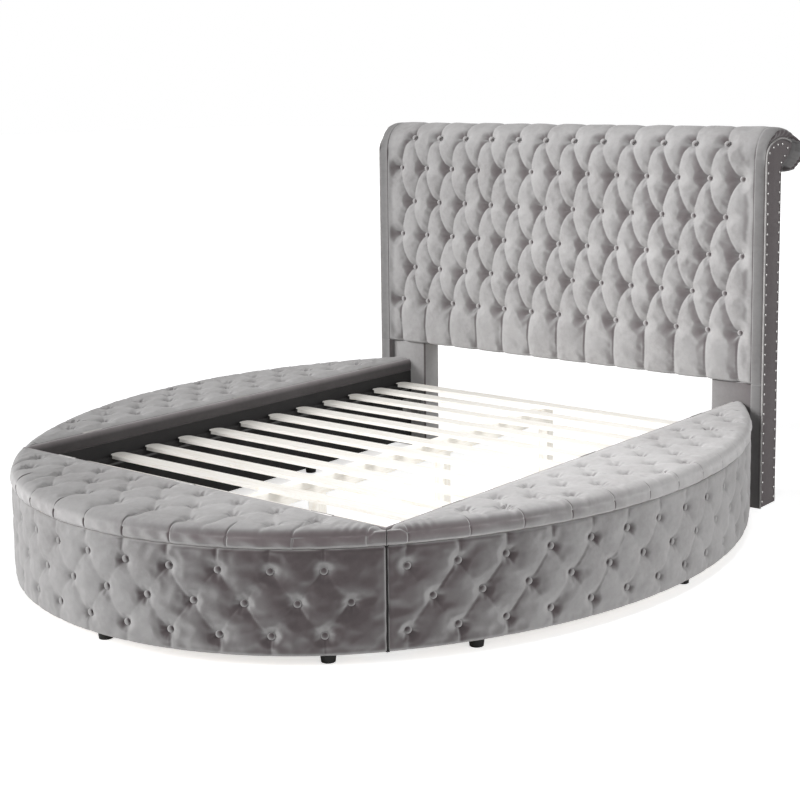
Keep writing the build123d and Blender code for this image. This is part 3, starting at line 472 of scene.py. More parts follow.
def blend_colours(tree, factor, stops):
    """A colour ramp with stops as (position, colour)."""
    node = add_node(tree, "ValToRGB", {"Fac": factor})
    elements = node.color_ramp.elements
    while len(elements) < len(stops):
        elements.new(0.5)
    for element, (position, colour) in zip(elements, stops):
        element.position = position
        element.color = (*colour, 1)
    return node.outputs["Color"]


def shades(colour, *stops):
    """Stops of one colour, each given as its position and its gain."""
    return [(position, tuple(min(1, c * gain) for c in colour)) for position, gain in stops]


def mixed(tree, first, second, share):
    """A weighted mean of two patterns."""
    return add_node(tree, "Mix", {"Factor": share, "A": first, "B": second}).outputs["Result"]


def coat(tree, shader, colour, roughness, heights, strength, distance, more=None):
    """Gives a shader its colour, its roughness and a bump from a pattern of heights."""
    bump = add_node(tree, "Bump", {"Strength": strength, "Distance": distance, "Height": heights})
    feed(tree, shader, {"Base Color": colour, "Roughness": roughness, "Normal": bump.outputs["Normal"]})
    feed(tree, shader, more or {})


# %% Velvet


def painted_gradient_along(tree, place, colour, axis, low, high, gain_low, gain_high):
    """Painted light or shade: the colour made paler or darker towards an edge, along one axis."""
    sizes = add_node(tree, "VectorMath", {0: place}, operation="ABSOLUTE")
    parts = add_node(tree, "SeparateXYZ", {"Vector": sizes.outputs["Vector"]})
    limits = {"From Min": low, "From Max": high, "To Min": gain_low, "To Max": gain_high}
    gain = add_node(tree, "MapRange", {**limits, "Value": parts.outputs[axis]}, interpolation_type="SMOOTHSTEP")
    scaled = add_node(tree, "VectorMath", {0: colour, "Scale": gain.outputs["Result"]}, operation="SCALE")
    return scaled.outputs["Vector"]


def velvet(name, lustre, tint=(0.98, 0.14), sheen=0.12, painted_light_or_shade=None):
    """Cut pile with painted sheen: dark where it's seen head-on and light at a grazing angle, and where asked,
    painted light or shade along one axis.
    """
    material, tree, shader, place = new_material(name)
    facing = add_node(tree, "LayerWeight", {"Blend": 0.5}).outputs["Facing"]
    stops = []
    for at, value in lustre:
        # The darkest stops are a little warmer than the light ones.
        warm = tint[1] * (1 - ramp(value, 0.08, 0.24))
        stops.append((at, (value, value * (tint[0] - warm), value * (tint[0] - 0.8 * warm))))
    patches = mixed(tree, noise(tree, place, 5, 3, 0.5), noise(tree, place, 60, 3, 0.6), 0.4)
    lean = [(0.34, (0.88, 0.87, 0.87)), (0.5, (1.0, 1.0, 1.0)), (0.68, (1.1, 1.1, 1.1))]
    inputs = {"Factor": 1.0, 6: blend_colours(tree, facing, stops), 7: blend_colours(tree, patches, lean)}
    colour = add_node(tree, "Mix", inputs, data_type="RGBA", blend_type="MULTIPLY").outputs[2]
    # Painted light or shade along one axis, where asked.
    if painted_light_or_shade:
        colour = painted_gradient_along(tree, place, colour, *painted_light_or_shade)
    pile = mixed(tree, noise(tree, place, 900, 2), noise(tree, place, 170, 3), 0.4)
    more = {"Specular IOR Level": 0.18, "Sheen Weight": sheen, "Sheen Roughness": 0.35}
    coat(tree, shader, colour, 0.7, pile, 0.2, 0.0012, more)
    return material


# Each lustre is a curve of painted sheen: the colour against how squarely the pile is seen.
GREY_LUSTRE = [(0.0, 0.075), (0.05, 0.105), (0.13, 0.195), (0.24, 0.33), (0.5, 0.41), (0.8, 0.46), (1.0, 0.52)]
# The headboard's curve is paler in its dark end: painted light for how the lamps reach the headboard.
HEAD_LIT_LUSTRE = [(0.0, 0.14), (0.05, 0.19), (0.1, 0.265), (0.18, 0.33), (0.3, 0.36), (0.6, 0.4), (1.0, 0.48)]
# The lids' curve is paler in its dark end too: painted light for how the lamps reach the lids.
LID_LIT_LUSTRE = [(0.0, 0.11), (0.06, 0.14), (0.15, 0.2), (0.28, 0.31), (0.5, 0.4), (0.8, 0.46), (1.0, 0.52)]
# The wing facings' curve is much darker: painted shade on the facings.
WING_SHADE_LUSTRE = [(0.0, 0.045), (0.2, 0.07), (0.38, 0.09), (0.6, 0.15), (1.0, 0.32)]
# The rail caps' curve is nearly black: painted shade inside the recess.
RECESS_SHADE_LUSTRE = [(0.0, 0.045), (0.3, 0.075), (0.7, 0.12), (1.0, 0.2)]
velvet_grey = velvet("velvet_grey", GREY_LUSTRE)
# The darker copy of the velvet for the wing facings: painted shade.
velvet_wing_shade = velvet("velvet_wing_shade", WING_SHADE_LUSTRE)
# The headboard velvet darkens towards the wings: painted shade where it turns away from the key light.
velvet_head_lit_and_shaded = velvet("velvet_head_lit_and_shaded", HEAD_LIT_LUSTRE, painted_light_or_shade=("X", 0.855, 0.918, 1.0, 0.6))
# The lid velvet is paler on its outer band, below the turned edge: painted light.
velvet_lid_lit = velvet("velvet_lid_lit", LID_LIT_LUSTRE, painted_light_or_shade=("Z", 0.374, 0.395, 1.3, 1.0))
# The cap velvet is paler at its rolled top edge: painted light where light reaches it.
velvet_cap_shade = velvet("velvet_cap_shade", RECESS_SHADE_LUSTRE, (0.98, 0.06), 0.05, ("Z", 0.372, 0.396, 1.0, 3.2))

# %% Timber, woven cloth, metal and plastic


def timber(name, colour, grain_axis):
    """Planed timber with long grain and darker streaks."""
    material, tree, shader, place = new_material(name)
    stretch = [1.0 if axis == grain_axis else 14.0 for axis in range(3)]
    grain = mixed(tree, noise(tree, place, 9, 5, 0.6, stretch), noise(tree, place, 70, 3, 0.6, stretch), 0.4)
    streak = tuple(c * gain for c, gain in zip(colour, (0.84, 0.77, 0.66)))
    stops = [(0.30, streak)] + shades(colour, (0.47, 1), (0.7, 1.08))
    coat(tree, shader, blend_colours(tree, grain, stops), 0.6, grain, 0.2, 0.001)
    return material


def woven(name, colour, scale=420):
    """Plain woven cloth: crossed waves for warp and weft."""
    material, tree, shader, place = new_material(name)
    warp, weft = (
        add_node(tree, "TexWave", {"Scale": scale, "Vector": place}, bands_direction=axis).outputs["Fac"]
        for axis in ("X", "Z")
    )
    weave = mixed(tree, warp, weft, 0.5)
    patches = mixed(tree, noise(tree, place, 30, 3), weave, 0.35)
    colours = blend_colours(tree, patches, shades(colour, (0.3, 0.8), (0.7, 1.2)))
    coat(tree, shader, colours, 0.85, weave, 0.3, 0.0006)
    return material


def metal(name, colour, roughness):
    """Bright or dull metal with faint scuffs."""
    material, tree, shader, place = new_material(name)
    scuffs = noise(tree, place, 240, 4, 0.6)
    colours = blend_colours(tree, scuffs, shades(colour, (0.3, 0.85), (0.7, 1)))
    coat(tree, shader, colours, roughness, scuffs, 0.06, 0.0004, {"Metallic": 1.0})
    return material


def moulded(name, colour):
    """Black moulded plastic with a fine spark-eroded texture."""
    material, tree, shader, place = new_material(name)
    grain = noise(tree, place, 650, 2)
    colours = blend_colours(tree, grain, shades(colour, (0.3, 0.8), (0.7, 1.3)))
    coat(tree, shader, colours, 0.5, grain, 0.15, 0.0004)
    return material


pine_across = timber("pine_across", (0.92, 0.895, 0.845), 0)
pine_along = timber("pine_along", (0.92, 0.89, 0.83), 1)
pine_upright = timber("pine_upright", (0.92, 0.89, 0.83), 2)
plywood = timber("plywood", (0.55, 0.42, 0.27), 1)
black_cloth = woven("black_cloth", (0.012, 0.011, 0.011))
cord_cloth = woven("cord_cloth", (0.36, 0.35, 0.345), 700)
tape_cloth = woven("tape_cloth", (0.035, 0.034, 0.033), 500)
nickel = metal("nickel", (0.50, 0.49, 0.48), 0.26)
steel = metal("steel", (0.40, 0.39, 0.38), 0.5)
black_plastic = moulded("black_plastic", (0.014, 0.014, 0.014))

# %% Dressing a piece


def dress(piece, material):
    """Gives a whole piece one material."""
    piece.data.materials.clear()
    piece.data.materials.append(material)


def soft_piece(piece, material, body, slot, fill, *replaced):
    """A padded piece: its velvet, what it rides on and the nodes it stands for; slot is not used."""
    dress(piece, material)
    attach(piece, body)
    if replaced:
        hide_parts(*replaced)


# %% [markdown]
# ## Bench covers
# Each bench's outer wall wears a padded velvet cover, buttoned in three staggered rows.
# The cover is a long thin form: its section runs up the face, and the rings follow the
# wall's arc. It draws in at the floor edge, under the lid and at the mitred corner, where
# two covers meet in an upright seam.

# %% Covers' pattern and rings
COVER_THICKNESS = 0.026
COVER_SWELL = 0.0014
COVER_HALF_PITCH = 0.0755
COVER_RISE = 0.093
MITRE = np.array([0.725, -0.6887])
SEAM = 0.0006


def cover_pattern(arc, seats, seed):
    """Buttons of one cover on its flat pattern, with pleats to the top and bottom edges."""
    buttons = [(angle_on(arc, seat) * arc[2], seat.z) for seat in seats]
    tufting = Tufting(buttons, COVER_HALF_PITCH, COVER_RISE, COVER_LOOK, seed)
    heights = [height for _, height in buttons]
    for run, height in buttons:
        if height - min(heights) < 0.01:
            tufting.edge_fold((run, height), (run, FOOT_HEIGHT), 0.12, 0.5)
        if max(heights) - height < 0.01:
            tufting.edge_fold((run, height), (run, WALL_TOP), 0.12, 0.8)
    return tufting


def cover_rings(arc, first, last, first_inward, last_inward, tufting, seed):
    """Rings of a cover from one angle to another; inward gives the direction at each end."""
    runs = spaced(first * arc[2], last * arc[2], 0.0045)
    heights = spaced(FOOT_HEIGHT, WALL_TOP - 0.0004, 0.0045)
    s, t = np.meshgrid(runs, heights, indexing="ij")
    from_edge = np.minimum(t - heights[0], heights[-1] - t)
    from_end = np.minimum(s - runs[0], runs[-1] - s)
    sunk = tufting.drop(s, t) + ruffle(s, t, seed)
    sunk = np.clip(sunk, 0, None) * ramp(from_edge, -0.01, 0.02)
    sunk = np.minimum(sunk + rolled(from_edge, 0.010) + rolled(from_end, 0.009), COVER_THICKNESS - 0.003)
    angle = runs / arc[2]
    near = 1 - ramp(runs - runs[0], 0, 0.05)
    far = 1 - ramp(runs[-1] - runs, 0, 0.05)
    inward = -np.stack([np.cos(angle), np.sin(angle)], -1) * (1 - near - far)[:, None]
    inward = inward + np.outer(near, first_inward) + np.outer(far, last_inward)
    inward = inward / np.linalg.norm(inward, axis=1)[:, None]
    base = on_arc(arc, angle)
    rings = np.zeros((len(runs), len(heights) + 2, 3))
    rings[:, 1:-1, :2] = base[:, None] + inward[:, None] * (sunk + COVER_SWELL)[:, :, None]
    rings[:, 1:-1, 2] = t
    held = held_at(sunk, (0.001, 0.006), (0.004, 0.03), from_edge, from_end)
    rings[:, 1:-1] = filled("cover_cloth", rings[:, 1:-1], held, 1.2, 0.006, 2.5 * COVER_SWELL)
    for k in (0, -1):
        rings[:, k, :2] = base + inward * COVER_THICKNESS
        rings[:, k, 2] = heights[k]
    return rings


# %% Foot and side covers
foot_seats = [seat for seat in cover_seats if seat.y < FOOT_Y and abs(seat.x) < CORNER[0] and
              abs(math.hypot(seat.x - foot_arc[0], seat.y - foot_arc[1]) - foot_arc[2]) < 0.02]
right_seats = [seat for seat in cover_seats if seat.x > 0 and seat not in foot_seats]
print("cover buttons: foot", len(foot_seats), "right", len(right_seats))

foot_edge = angle_on(foot_arc, CORNER) - SEAM / foot_arc[2]
side_near = angle_on(side_arc, CORNER) + SEAM / side_arc[2]
side_far = angle_on(side_arc, (SIDE_HEAD_X, HEAD_Y)) - SEAM / side_arc[2]
foot_pattern = cover_pattern(foot_arc, foot_seats, 11)
right_pattern = cover_pattern(side_arc, right_seats, 12)
foot_cover = skin("foot_cover", cover_rings(
    foot_arc, -math.pi - foot_edge, foot_edge, MITRE * (1, -1), -MITRE, foot_pattern, 21,
))
right_cover = skin("right_cover", cover_rings(
    side_arc, side_near, side_far, -MITRE, (-1.0, 0.0), right_pattern, 22,
))
left_cover = mirrored(right_cover, "left_cover")
for cover, side in ((foot_cover, "foot"), (right_cover, "right"), (left_cover, "left")):
    soft_piece(cover, velvet_grey, "bed", "velvet", 0.8, f"{side}_bench_cover")
print("covers made:", len(foot_cover.data.vertices), len(right_cover.data.vertices), "points")

# %% [markdown]
# ## Lids
# A lid is a padded board. Its top is buttoned in a wide diamond lattice. At the recess it
# rolls softly towards the hinge line, at the outer edge it turns over into an upright band,
# and at the mitre it dips, because the cloth is folded in there. The rings run from the
# hinge edge out to the arc, and fan so that the last one lies along the mitre.

# %% Lid pattern
LID_HALF_PITCH = 0.0775
LID_BOTTOM = 0.3446
LID_GAP = 0.0012
LID_HEAD_GAP = 0.003
END_DROP = 0.013
END_RUN = 0.026
HINGE_DROP = 0.0080
HINGE_RUN = 0.040
TURN_DROP = 0.026
TURN_RUN = 0.034
STILE_CLEAR = 0.3885
MITRE_SLOPE = 0.020 / 0.019


def lid_pattern(side, seed):
    """Buttons of one lid in plan, with pleats from the outer row towards the edge."""
    if side == "right":
        rise, buttons = 0.080, [(seat.y, seat.x) for seat in lid_seats[side]]
    else:
        rise, buttons = 0.095, [(seat.x, -seat.y) for seat in lid_seats[side]]
    tufting = Tufting(buttons, LID_HALF_PITCH, rise, LID_LOOK, seed)
    inner_row = min(round(t, 3) for _, t in buttons)
    for s, t in buttons:
        if abs(t - inner_row) < 0.004:
            tufting.edge_fold((s, t), (s, t - 0.055), 0.2, 0.1)
        above = [b for b in buttons if 0 < b[1] - t < rise * 1.3 and abs(b[0] - s) < LID_HALF_PITCH * 1.2]
        if len(above) < 2:
            tufting.edge_fold((s, t), (s * 1.02, t + 0.16), 0.3, 0.45)
    return tufting


def pleat_places(run):
    """Where the sewn pleats of a lid's outer band lie along its length."""
    pitch = 2 * LID_HALF_PITCH
    numbers = np.arange(math.ceil(run.min() / pitch) - 1, math.floor(run.max() / pitch) + 2)
    return pitch * (numbers + 0.02 * np.sin(5.0 * numbers))


def band_pleats(run):
    """Depth of the pleats: a fine dark line with the cloth on one side proud."""
    depth = np.zeros_like(run)
    for place in pleat_places(run):
        gap = run - place
        line = 0.0034 * np.exp(-((gap / 0.0019) ** 2))
        depth += line + 0.0014 * np.tanh(gap / 0.0012) * np.exp(-np.abs(gap) / 0.016)
    return depth


def unique_sorted(values):
    """Values in order, without near repeats."""
    values = np.sort(values)
    return values[np.concatenate([[True], np.diff(values) > 1e-4])]


def pleated(spread, run_of):
    """Stations along a lid, with more of them close to each pleat."""
    fine = np.linspace(spread[0], spread[-1], 6000)
    run = run_of(fine)
    offsets = np.array([-4, -2.4, -1.4, -0.6, 0, 0.6, 1.4, 2.4, 4]) * 0.001
    places = pleat_places(run)[:, None] + offsets
    places = places[(places > run.min() + 0.01) & (places < run.max() - 0.01)]
    return unique_sorted(np.concatenate([spread, np.interp(places, run, fine)]))


# %% Rings of a lid
# Shares across a lid, closer together near the turned outer edge.
across = unique_sorted(np.concatenate([
    [0, 0.004, 0.01], np.linspace(0, 0.88, 84)[1:], 1 - 0.12 * (1 - np.linspace(0, 1, 16)[1:]) ** 1.6,
]))


def lid_rings(inner_line, outer_line, mitre_ends, tufting, to_pattern, seed):
    """Rings of a lid: each runs from a point of the inner line to one of the outer line."""
    reach = outer_line - inner_line
    width = np.linalg.norm(reach, axis=1)[:, None]
    plan = inner_line[:, None] + reach[:, None] * across[:, None]
    from_inner = width * across
    from_outer = width - from_inner
    s, t = to_pattern(plan)
    sunk = tufting.drop(s, t) + ruffle(s, t, seed, 0.09, 0.0014)
    calm = ramp(from_outer, 0.004, 0.05) * ramp(from_inner, -0.01, 0.035)
    height = LID_TOP + 0.001 - np.clip(sunk, 0, None) * (0.25 + 0.75 * calm)
    # The hinge side rolls down to the hinge line and the outer side turns over.
    height -= HINGE_DROP * np.clip(1 - from_inner / HINGE_RUN, 0, 1) ** 2
    turn = np.clip(1 - from_outer / TURN_RUN, 0, 1)
    height -= TURN_DROP * (1 - np.sqrt(1 - turn**2 * 0.995))
    end_gap = mitre_ends(plan)
    gathers = 1 + 0.16 * np.sin(from_inner / 0.0065 + 2 * np.sin(from_inner / 0.03))
    height -= END_DROP * np.clip(1 - end_gap / END_RUN, 0, 1) ** 2 * gathers
    # Spare cloth at the mitre is eased in as slanting gathers over the outer edge.
    eased = between(end_gap, 0.02, 0.05, 0.10, 0.17) * (1 - ramp(from_outer, 0.03, 0.09))
    height -= 0.0012 * eased * np.sin((end_gap + 0.6 * from_outer) / 0.0040)
    # Over the hinge stile the cloth stays above the wood.
    height = np.maximum(height, STILE_CLEAR - 0.03 * ramp(from_inner, 0.022, 0.06))
    # The outer band: down from the turned edge to the seam over the cover.
    pleat = band_pleats(s[:, -1])[:, None]
    height -= pleat * ramp(0.075 - from_outer, 0, 0.05) * (1 - 0.5 * turn)
    band = np.linspace(0, 1, 14)[1:]
    bulge = 0.0035 * np.sin(np.pi * band**0.8) - pleat * (1 - 0.4 * band)
    dents = ruffle(s[:, -1:] * np.ones_like(band), band * 0.04, seed + 5, 0.08, 0.0016)
    tuck = 0.006 * np.clip(band - 0.82, 0, 1) / 0.18
    top, outward, last = height[:, -1:], reach / width, len(across)
    rings = np.zeros((len(reach), last + len(band) + 2, 3))
    rings[:, last + 1:-1, :2] = outer_line[:, None] + outward[:, None] * (bulge + dents - tuck)[:, :, None]
    rings[:, last + 1:-1, 2] = top + (LID_BOTTOM - top) * band
    held = held_at(sunk, (0.001, 0.006), (0.006, 0.04), from_inner, from_outer, end_gap)
    tops = np.concatenate([plan, height[:, :, None]], -1)
    rings[:, 1:last + 1] = filled("lid_cloth", tops, held, -1.2, 0.010, 0.0035)
    rings[:, 0, :2] = inner_line
    rings[:, -1, :2] = outer_line - outward * 0.02
    rings[:, [0, -1], 2] = LID_BOTTOM
    return rings


def mitre_distance(plan, away):
    """Distance in plan from the right-hand mitre plane, on the foot's or the side's side."""
    return away * ((plan - np.array([RECESS_HALF, FOOT_Y])) @ np.array([-MITRE[1], MITRE[0]]))


# %% Foot lid
half_turn = math.pi / 2 + (foot_edge - 0.0008 / foot_arc[2])
spread = spaced(-1.0, 1.0, 0.0055, (0.0006, 0.002, 0.004, 0.007))
spread = pleated(spread, lambda part: foot_arc[0] + foot_arc[2] * np.sin(half_turn * part))
inner_x = (RECESS_HALF + LID_INSET * MITRE_SLOPE - 0.0016) * spread
foot_inner_line = np.stack([inner_x, np.full_like(inner_x, FOOT_Y - LID_INSET)], -1)
foot_outer_line = on_arc(foot_arc, -math.pi / 2 + half_turn * spread)


def foot_ends(plan):
    """Distance from the nearer of the foot lid's two mitres."""
    return np.minimum(mitre_distance(plan, -1), mitre_distance(plan * (-1.0, 1.0), -1)) - LID_GAP


foot_lid_pattern = lid_pattern("foot", 31)
foot_lid = skin("foot_lid_velvet", lid_rings(
    foot_inner_line, foot_outer_line, foot_ends, foot_lid_pattern,
    lambda plan: (plan[..., 0], -plan[..., 1]), 41,
))

# %% Side lids
outer_start = side_near + 0.0008 / side_arc[2]
outer_turn = math.asin((HEAD_Y - LID_HEAD_GAP - side_arc[1]) / side_arc[2]) - outer_start
spread = spaced(0.0, 1.0, 0.0026, (0.0003, 0.0009, 0.0018, 0.003))
spread = pleated(spread, lambda part: side_arc[1] + side_arc[2] * np.sin(outer_start + outer_turn * part))
inner_start = FOOT_Y - LID_INSET / MITRE_SLOPE + 0.0016
inner_y = inner_start + (HEAD_Y - LID_HEAD_GAP - inner_start) * spread
right_inner_line = np.stack([np.full_like(inner_y, RECESS_HALF + LID_INSET), inner_y], -1)
right_outer_line = on_arc(side_arc, outer_start + outer_turn * spread)


def right_ends(plan):
    """Distance from the right lid's mitre; its head end is square and stays high."""
    head = (HEAD_Y - LID_HEAD_GAP - plan[..., 1]) * 2 + 0.012
    return np.minimum(mitre_distance(plan, 1) - LID_GAP, head)


right_lid_pattern = lid_pattern("right", 32)
right_lid = skin("right_lid_velvet", lid_rings(
    right_inner_line, right_outer_line, right_ends, right_lid_pattern,
    lambda plan: (plan[..., 1], plan[..., 0]), 42,
))
left_lid = mirrored(right_lid, "left_lid_velvet")
for lid, side in ((foot_lid, "foot"), (right_lid, "right"), (left_lid, "left")):
    soft_piece(lid, velvet_lid_lit, f"{side}_lid", "velvet", 0.75, f"{side}_lid_pad")
print("lids made:", len(foot_lid.data.vertices), len(right_lid.data.vertices), "points")

# %% [markdown]
# ## Rail caps
# The boards round the recess carry a narrow padded cap in the same velvet. Its colour is
# painted shade, nearly black inside the recess, and paler at the rolled top edge, painted
# light. Its top rolls over towards the hinge line, so that cap and lid read as one soft edge.

# %% Caps
CAP_ROLL = 0.0135
cap_section = [
    (0.0004, WALL_TOP), (-0.0010, WALL_TOP + 0.006), (-0.0016, WALL_TOP + 0.018), (-0.0012, WALL_TOP + 0.030),
]
for turn in np.linspace(0, math.pi / 2, 9):
    cap_section.append((CAP_ROLL - CAP_ROLL * math.cos(turn), CAP_TOP - CAP_ROLL + CAP_ROLL * math.sin(turn)))
cap_section += [(0.0175, CAP_TOP - 0.0004), (0.0180, CAP_TOP - 0.003), (0.0180, WALL_TOP)]


def cap_rings(start, end, outward, mitre_start, mitre_end):
    """Rings of one cap along the recess; outward points from the recess to the lid."""
    section = np.array(cap_section)
    inset, outward = section[:, :1], np.array(outward)
    run = np.subtract(end, start)
    length = np.linalg.norm(run)
    along = run / length
    stations = spaced(0, length, 0.02)
    skew = mitre_start * np.maximum(0, 1 - stations / 0.05)
    skew = skew - mitre_end * np.maximum(0, 1 - (length - stations) / 0.05)
    rings = np.zeros((len(stations), len(section), 3))
    rings[:, :, :2] = (np.array(start) + along * stations[:, None])[:, None] + inset * outward
    rings[:, :, :2] -= inset * along * skew[:, None, None]
    rings[:, :, 2] = section[:, 1]
    ripple = ruffle(stations[:, None] * np.ones(len(section)), rings[:, :, 2], 51, 0.12, 0.0005)
    rings[:, 1:-1, :2] -= ripple[:, 1:-1, None] * outward
    return rings


foot_cap = skin("foot_cap", cap_rings((-RECESS_HALF, FOOT_Y), (RECESS_HALF, FOOT_Y), (0, -1), 1.05, 1.05))
right_cap = skin("right_cap", cap_rings((RECESS_HALF, FOOT_Y), (RECESS_HALF, HEAD_Y - 0.0005), (1, 0), 0.95, 0))
left_cap = mirrored(right_cap, "left_cap")
soft_piece(foot_cap, velvet_cap_shade, "bed", "inner_velvet", 0.9, "rail_caps")
for cap in (right_cap, left_cap):
    soft_piece(cap, velvet_cap_shade, "bed", "inner_velvet", 0.9)

# %% [markdown]
# ## Covered buttons
# Each button is a small dome covered in the same velvet. The cloth is pulled over it, so
# its rim is soft. The covers' buttons are one mesh, each lid's are another, and every
# button is sunk in its pit.

# %% Button and nail shapes


def turned(profile, sides):
    """Points and faces of a shape turned about +Z from (radius, height) pairs."""
    angles = [2 * math.pi * k / sides for k in range(sides)]
    points = [(radius * math.cos(a), radius * math.sin(a), height) for radius, height in profile for a in angles]
    return points, ring_faces(len(profile), sides)


BUTTON = turned(
    [(0.0070, -0.0075), (0.0085, -0.001), (0.0108, 0.0), (0.0113, 0.0015), (0.0106, 0.0034), (0.0085, 0.0050),
     (0.0055, 0.0060), (0.0022, 0.0064)], 20,
)
NAIL = turned(
    [(0.0052, 0.0002), (0.0057, 0.0006), (0.0054, 0.0014), (0.0046, 0.0023), (0.0032, 0.0030),
     (0.0015, 0.0033)], 16,
)


def scattered(name, shape, seats, sink=0.0):
    """One mesh with the shape at every seat, given as (place, outward direction)."""
    points, faces = [], []
    for place, outward in seats:
        place, outward = Vector(place), Vector(outward)
        turn = outward.to_track_quat("Z", "Y").to_matrix()
        faces += [[len(points) + k for k in face] for face in shape[1]]
        points += [place - outward * sink + turn @ Vector(point) for point in shape[0]]
    return smooth_piece(name, points, faces)


def flipped(vector):
    """A place or a direction mirrored to the bed's left-hand half."""
    return Vector((-vector[0], vector[1], vector[2]))


# %% Buttons of covers and lids
BUTTON_HALF_HEIGHT = 0.003


def seated(arc, seat):
    """A button's place and its direction square to a bench's face."""
    outward = Vector((seat.x - arc[0], seat.y - arc[1], 0)).normalized()
    return seat - outward * BUTTON_HALF_HEIGHT, outward


cover_places = [seated(foot_arc, seat) for seat in foot_seats]
for seat in right_seats:
    place, outward = seated(side_arc, seat)
    cover_places += [(place, outward), (flipped(place), flipped(outward))]
buttons = scattered("cover_button_domes", BUTTON, cover_places, 0.001)
soft_piece(buttons, velvet_grey, "bed", "velvet", 0.9, "cover_buttons")

for side, sign in (("foot", 1), ("right", 1), ("left", -1)):
    seats = lid_seats["foot" if side == "foot" else "right"]
    places = [((sign * seat.x, seat.y, seat.z - BUTTON_HALF_HEIGHT), (0, 0, 1)) for seat in seats]
    buttons = scattered(f"{side}_lid_button_domes", BUTTON, places, 0.0005)
    soft_piece(buttons, velvet_grey, f"{side}_lid", "velvet", 0.9, f"{side}_lid_buttons")

# %% [markdown]
# ## Headboard front and roll
# One length of velvet covers the front, runs over the roll and is fixed underneath it. Its
# section is a line up the front that bends into the roll, and the rings follow one another
# across the bed. The diamonds are deep, pleats run down to the lower seam, and above the
# top row of buttons they run over the roll and fade.

# %% Profile of the front and the roll
WING_X = 0.890
SEAM_Z = 0.476
SPRING_Z = 1.330
FRONT_Y = -0.020
ROLL_RADIUS = 0.114
NOSE_RADIUS = 0.046
ROLL_REACH = 0.266
NOSE_TURN = math.radians(40)
UNDER_SLOPE = math.radians(25)
BACK_Y = 0.095


def upright(y, heights):
    """An upright line of points in the profile's plane."""
    return np.stack([np.full_like(heights, y), heights], -1)


def arc_points(centre, radius, start, end, step):
    """Points on an arc in the profile's plane, evenly spaced."""
    angles = np.linspace(start, end, max(3, int(abs(end - start) * radius / step)))
    return [(centre[0] + radius * math.cos(a), centre[1] + radius * math.sin(a)) for a in angles]


def roll_line(step):
    """The roll's outline from the top of the front round to the back of the board."""
    crest_y = FRONT_Y + ROLL_RADIUS
    line = arc_points((crest_y, SPRING_Z), ROLL_RADIUS, math.pi, math.pi / 2, step)
    facing = math.pi / 2 - NOSE_TURN
    nose = NOSE_RADIUS * math.cos(facing)
    back_radius = (ROLL_REACH - NOSE_RADIUS + nose - crest_y) / math.sin(NOSE_TURN)
    centre = (crest_y, SPRING_Z + ROLL_RADIUS - back_radius)
    line += arc_points(centre, back_radius, math.pi / 2, facing, step)[1:]
    centre = (line[-1][0] - nose, line[-1][1] - NOSE_RADIUS * math.sin(facing))
    line += arc_points(centre, NOSE_RADIUS, facing, UNDER_SLOPE - math.pi / 2, step * 0.8)[1:]
    tail = line[-1]
    run = (tail[0] - BACK_Y) / math.cos(UNDER_SLOPE)
    for k in range(1, int(run / step) + 1):
        gone = min(k * step, run)
        line.append((tail[0] - gone * math.cos(UNDER_SLOPE), tail[1] - gone * math.sin(UNDER_SLOPE)))
    return np.array(line)


front_heights = np.concatenate([
    SEAM_Z + np.array([0.0, 0.0006, 0.002, 0.004, 0.007]), np.arange(SEAM_Z + 0.011, SPRING_Z, 0.0036),
])
roll_outline = roll_line(0.0042)
section = np.concatenate([upright(FRONT_Y, front_heights), roll_outline[1:]])
steps = np.linalg.norm(np.diff(section, axis=0), axis=1)
section_run = SEAM_Z + np.concatenate([[0], np.cumsum(steps)])
tangent = np.gradient(section, axis=0)
tangent = tangent / np.linalg.norm(tangent, axis=1)[:, None]
section_out = np.stack([-tangent[:, 1], tangent[:, 0]], -1)
print("section points", len(section), "run", section_run[-1])

# %% Tufted front
HEAD_HALF_PITCH = 0.069
HEAD_RISE = 0.146
FRONT_PIT = 0.036
ROLL_PIT = 0.0215
WING_LIFT = 0.0045


def seat_run(seat):
    """Length along the section at a button's seat."""
    gaps = np.hypot(section[:, 0] - (seat.y - HEAD_Y), section[:, 1] - seat.z)
    return float(section_run[int(np.argmin(gaps))])


head_buttons = [(seat.x, seat_run(seat)) for seat in head_seats]
head_runs = [t for _, t in head_buttons]
head_pattern = Tufting(head_buttons, HEAD_HALF_PITCH, HEAD_RISE, HEAD_LOOK, 61)
for s, t in head_buttons:
    if t - min(head_runs) < 0.02:
        head_pattern.edge_fold((s, t), (s, SEAM_Z), 0.16, 0.6, 1.0, 1.3)
    if max(head_runs) - t < 0.02:
        head_pattern.edge_fold((s, t), (s, t + 0.20), 0.2, 0.15, 1.0, 1.3)

columns = spaced(-WING_X, WING_X, 0.0034)
s, t = np.meshgrid(columns, section_run, indexing="ij")
from_wing, up, count = WING_X - np.abs(s), section[:, 1], len(section)
sunk = head_pattern.drop(s, t) + ruffle(s, t, 62, 0.08, 0.0016)
# Over the roll the padding is thinner, so the pits are shallower there.
sunk = np.clip(sunk, -0.001, np.where(up > 1.285, ROLL_PIT, FRONT_PIT)) * ramp(from_wing, -0.004, 0.022)
sunk = sunk + rolled(t - SEAM_Z, 0.012) + 0.0012 * (1 - ramp(from_wing, 0, 0.004))
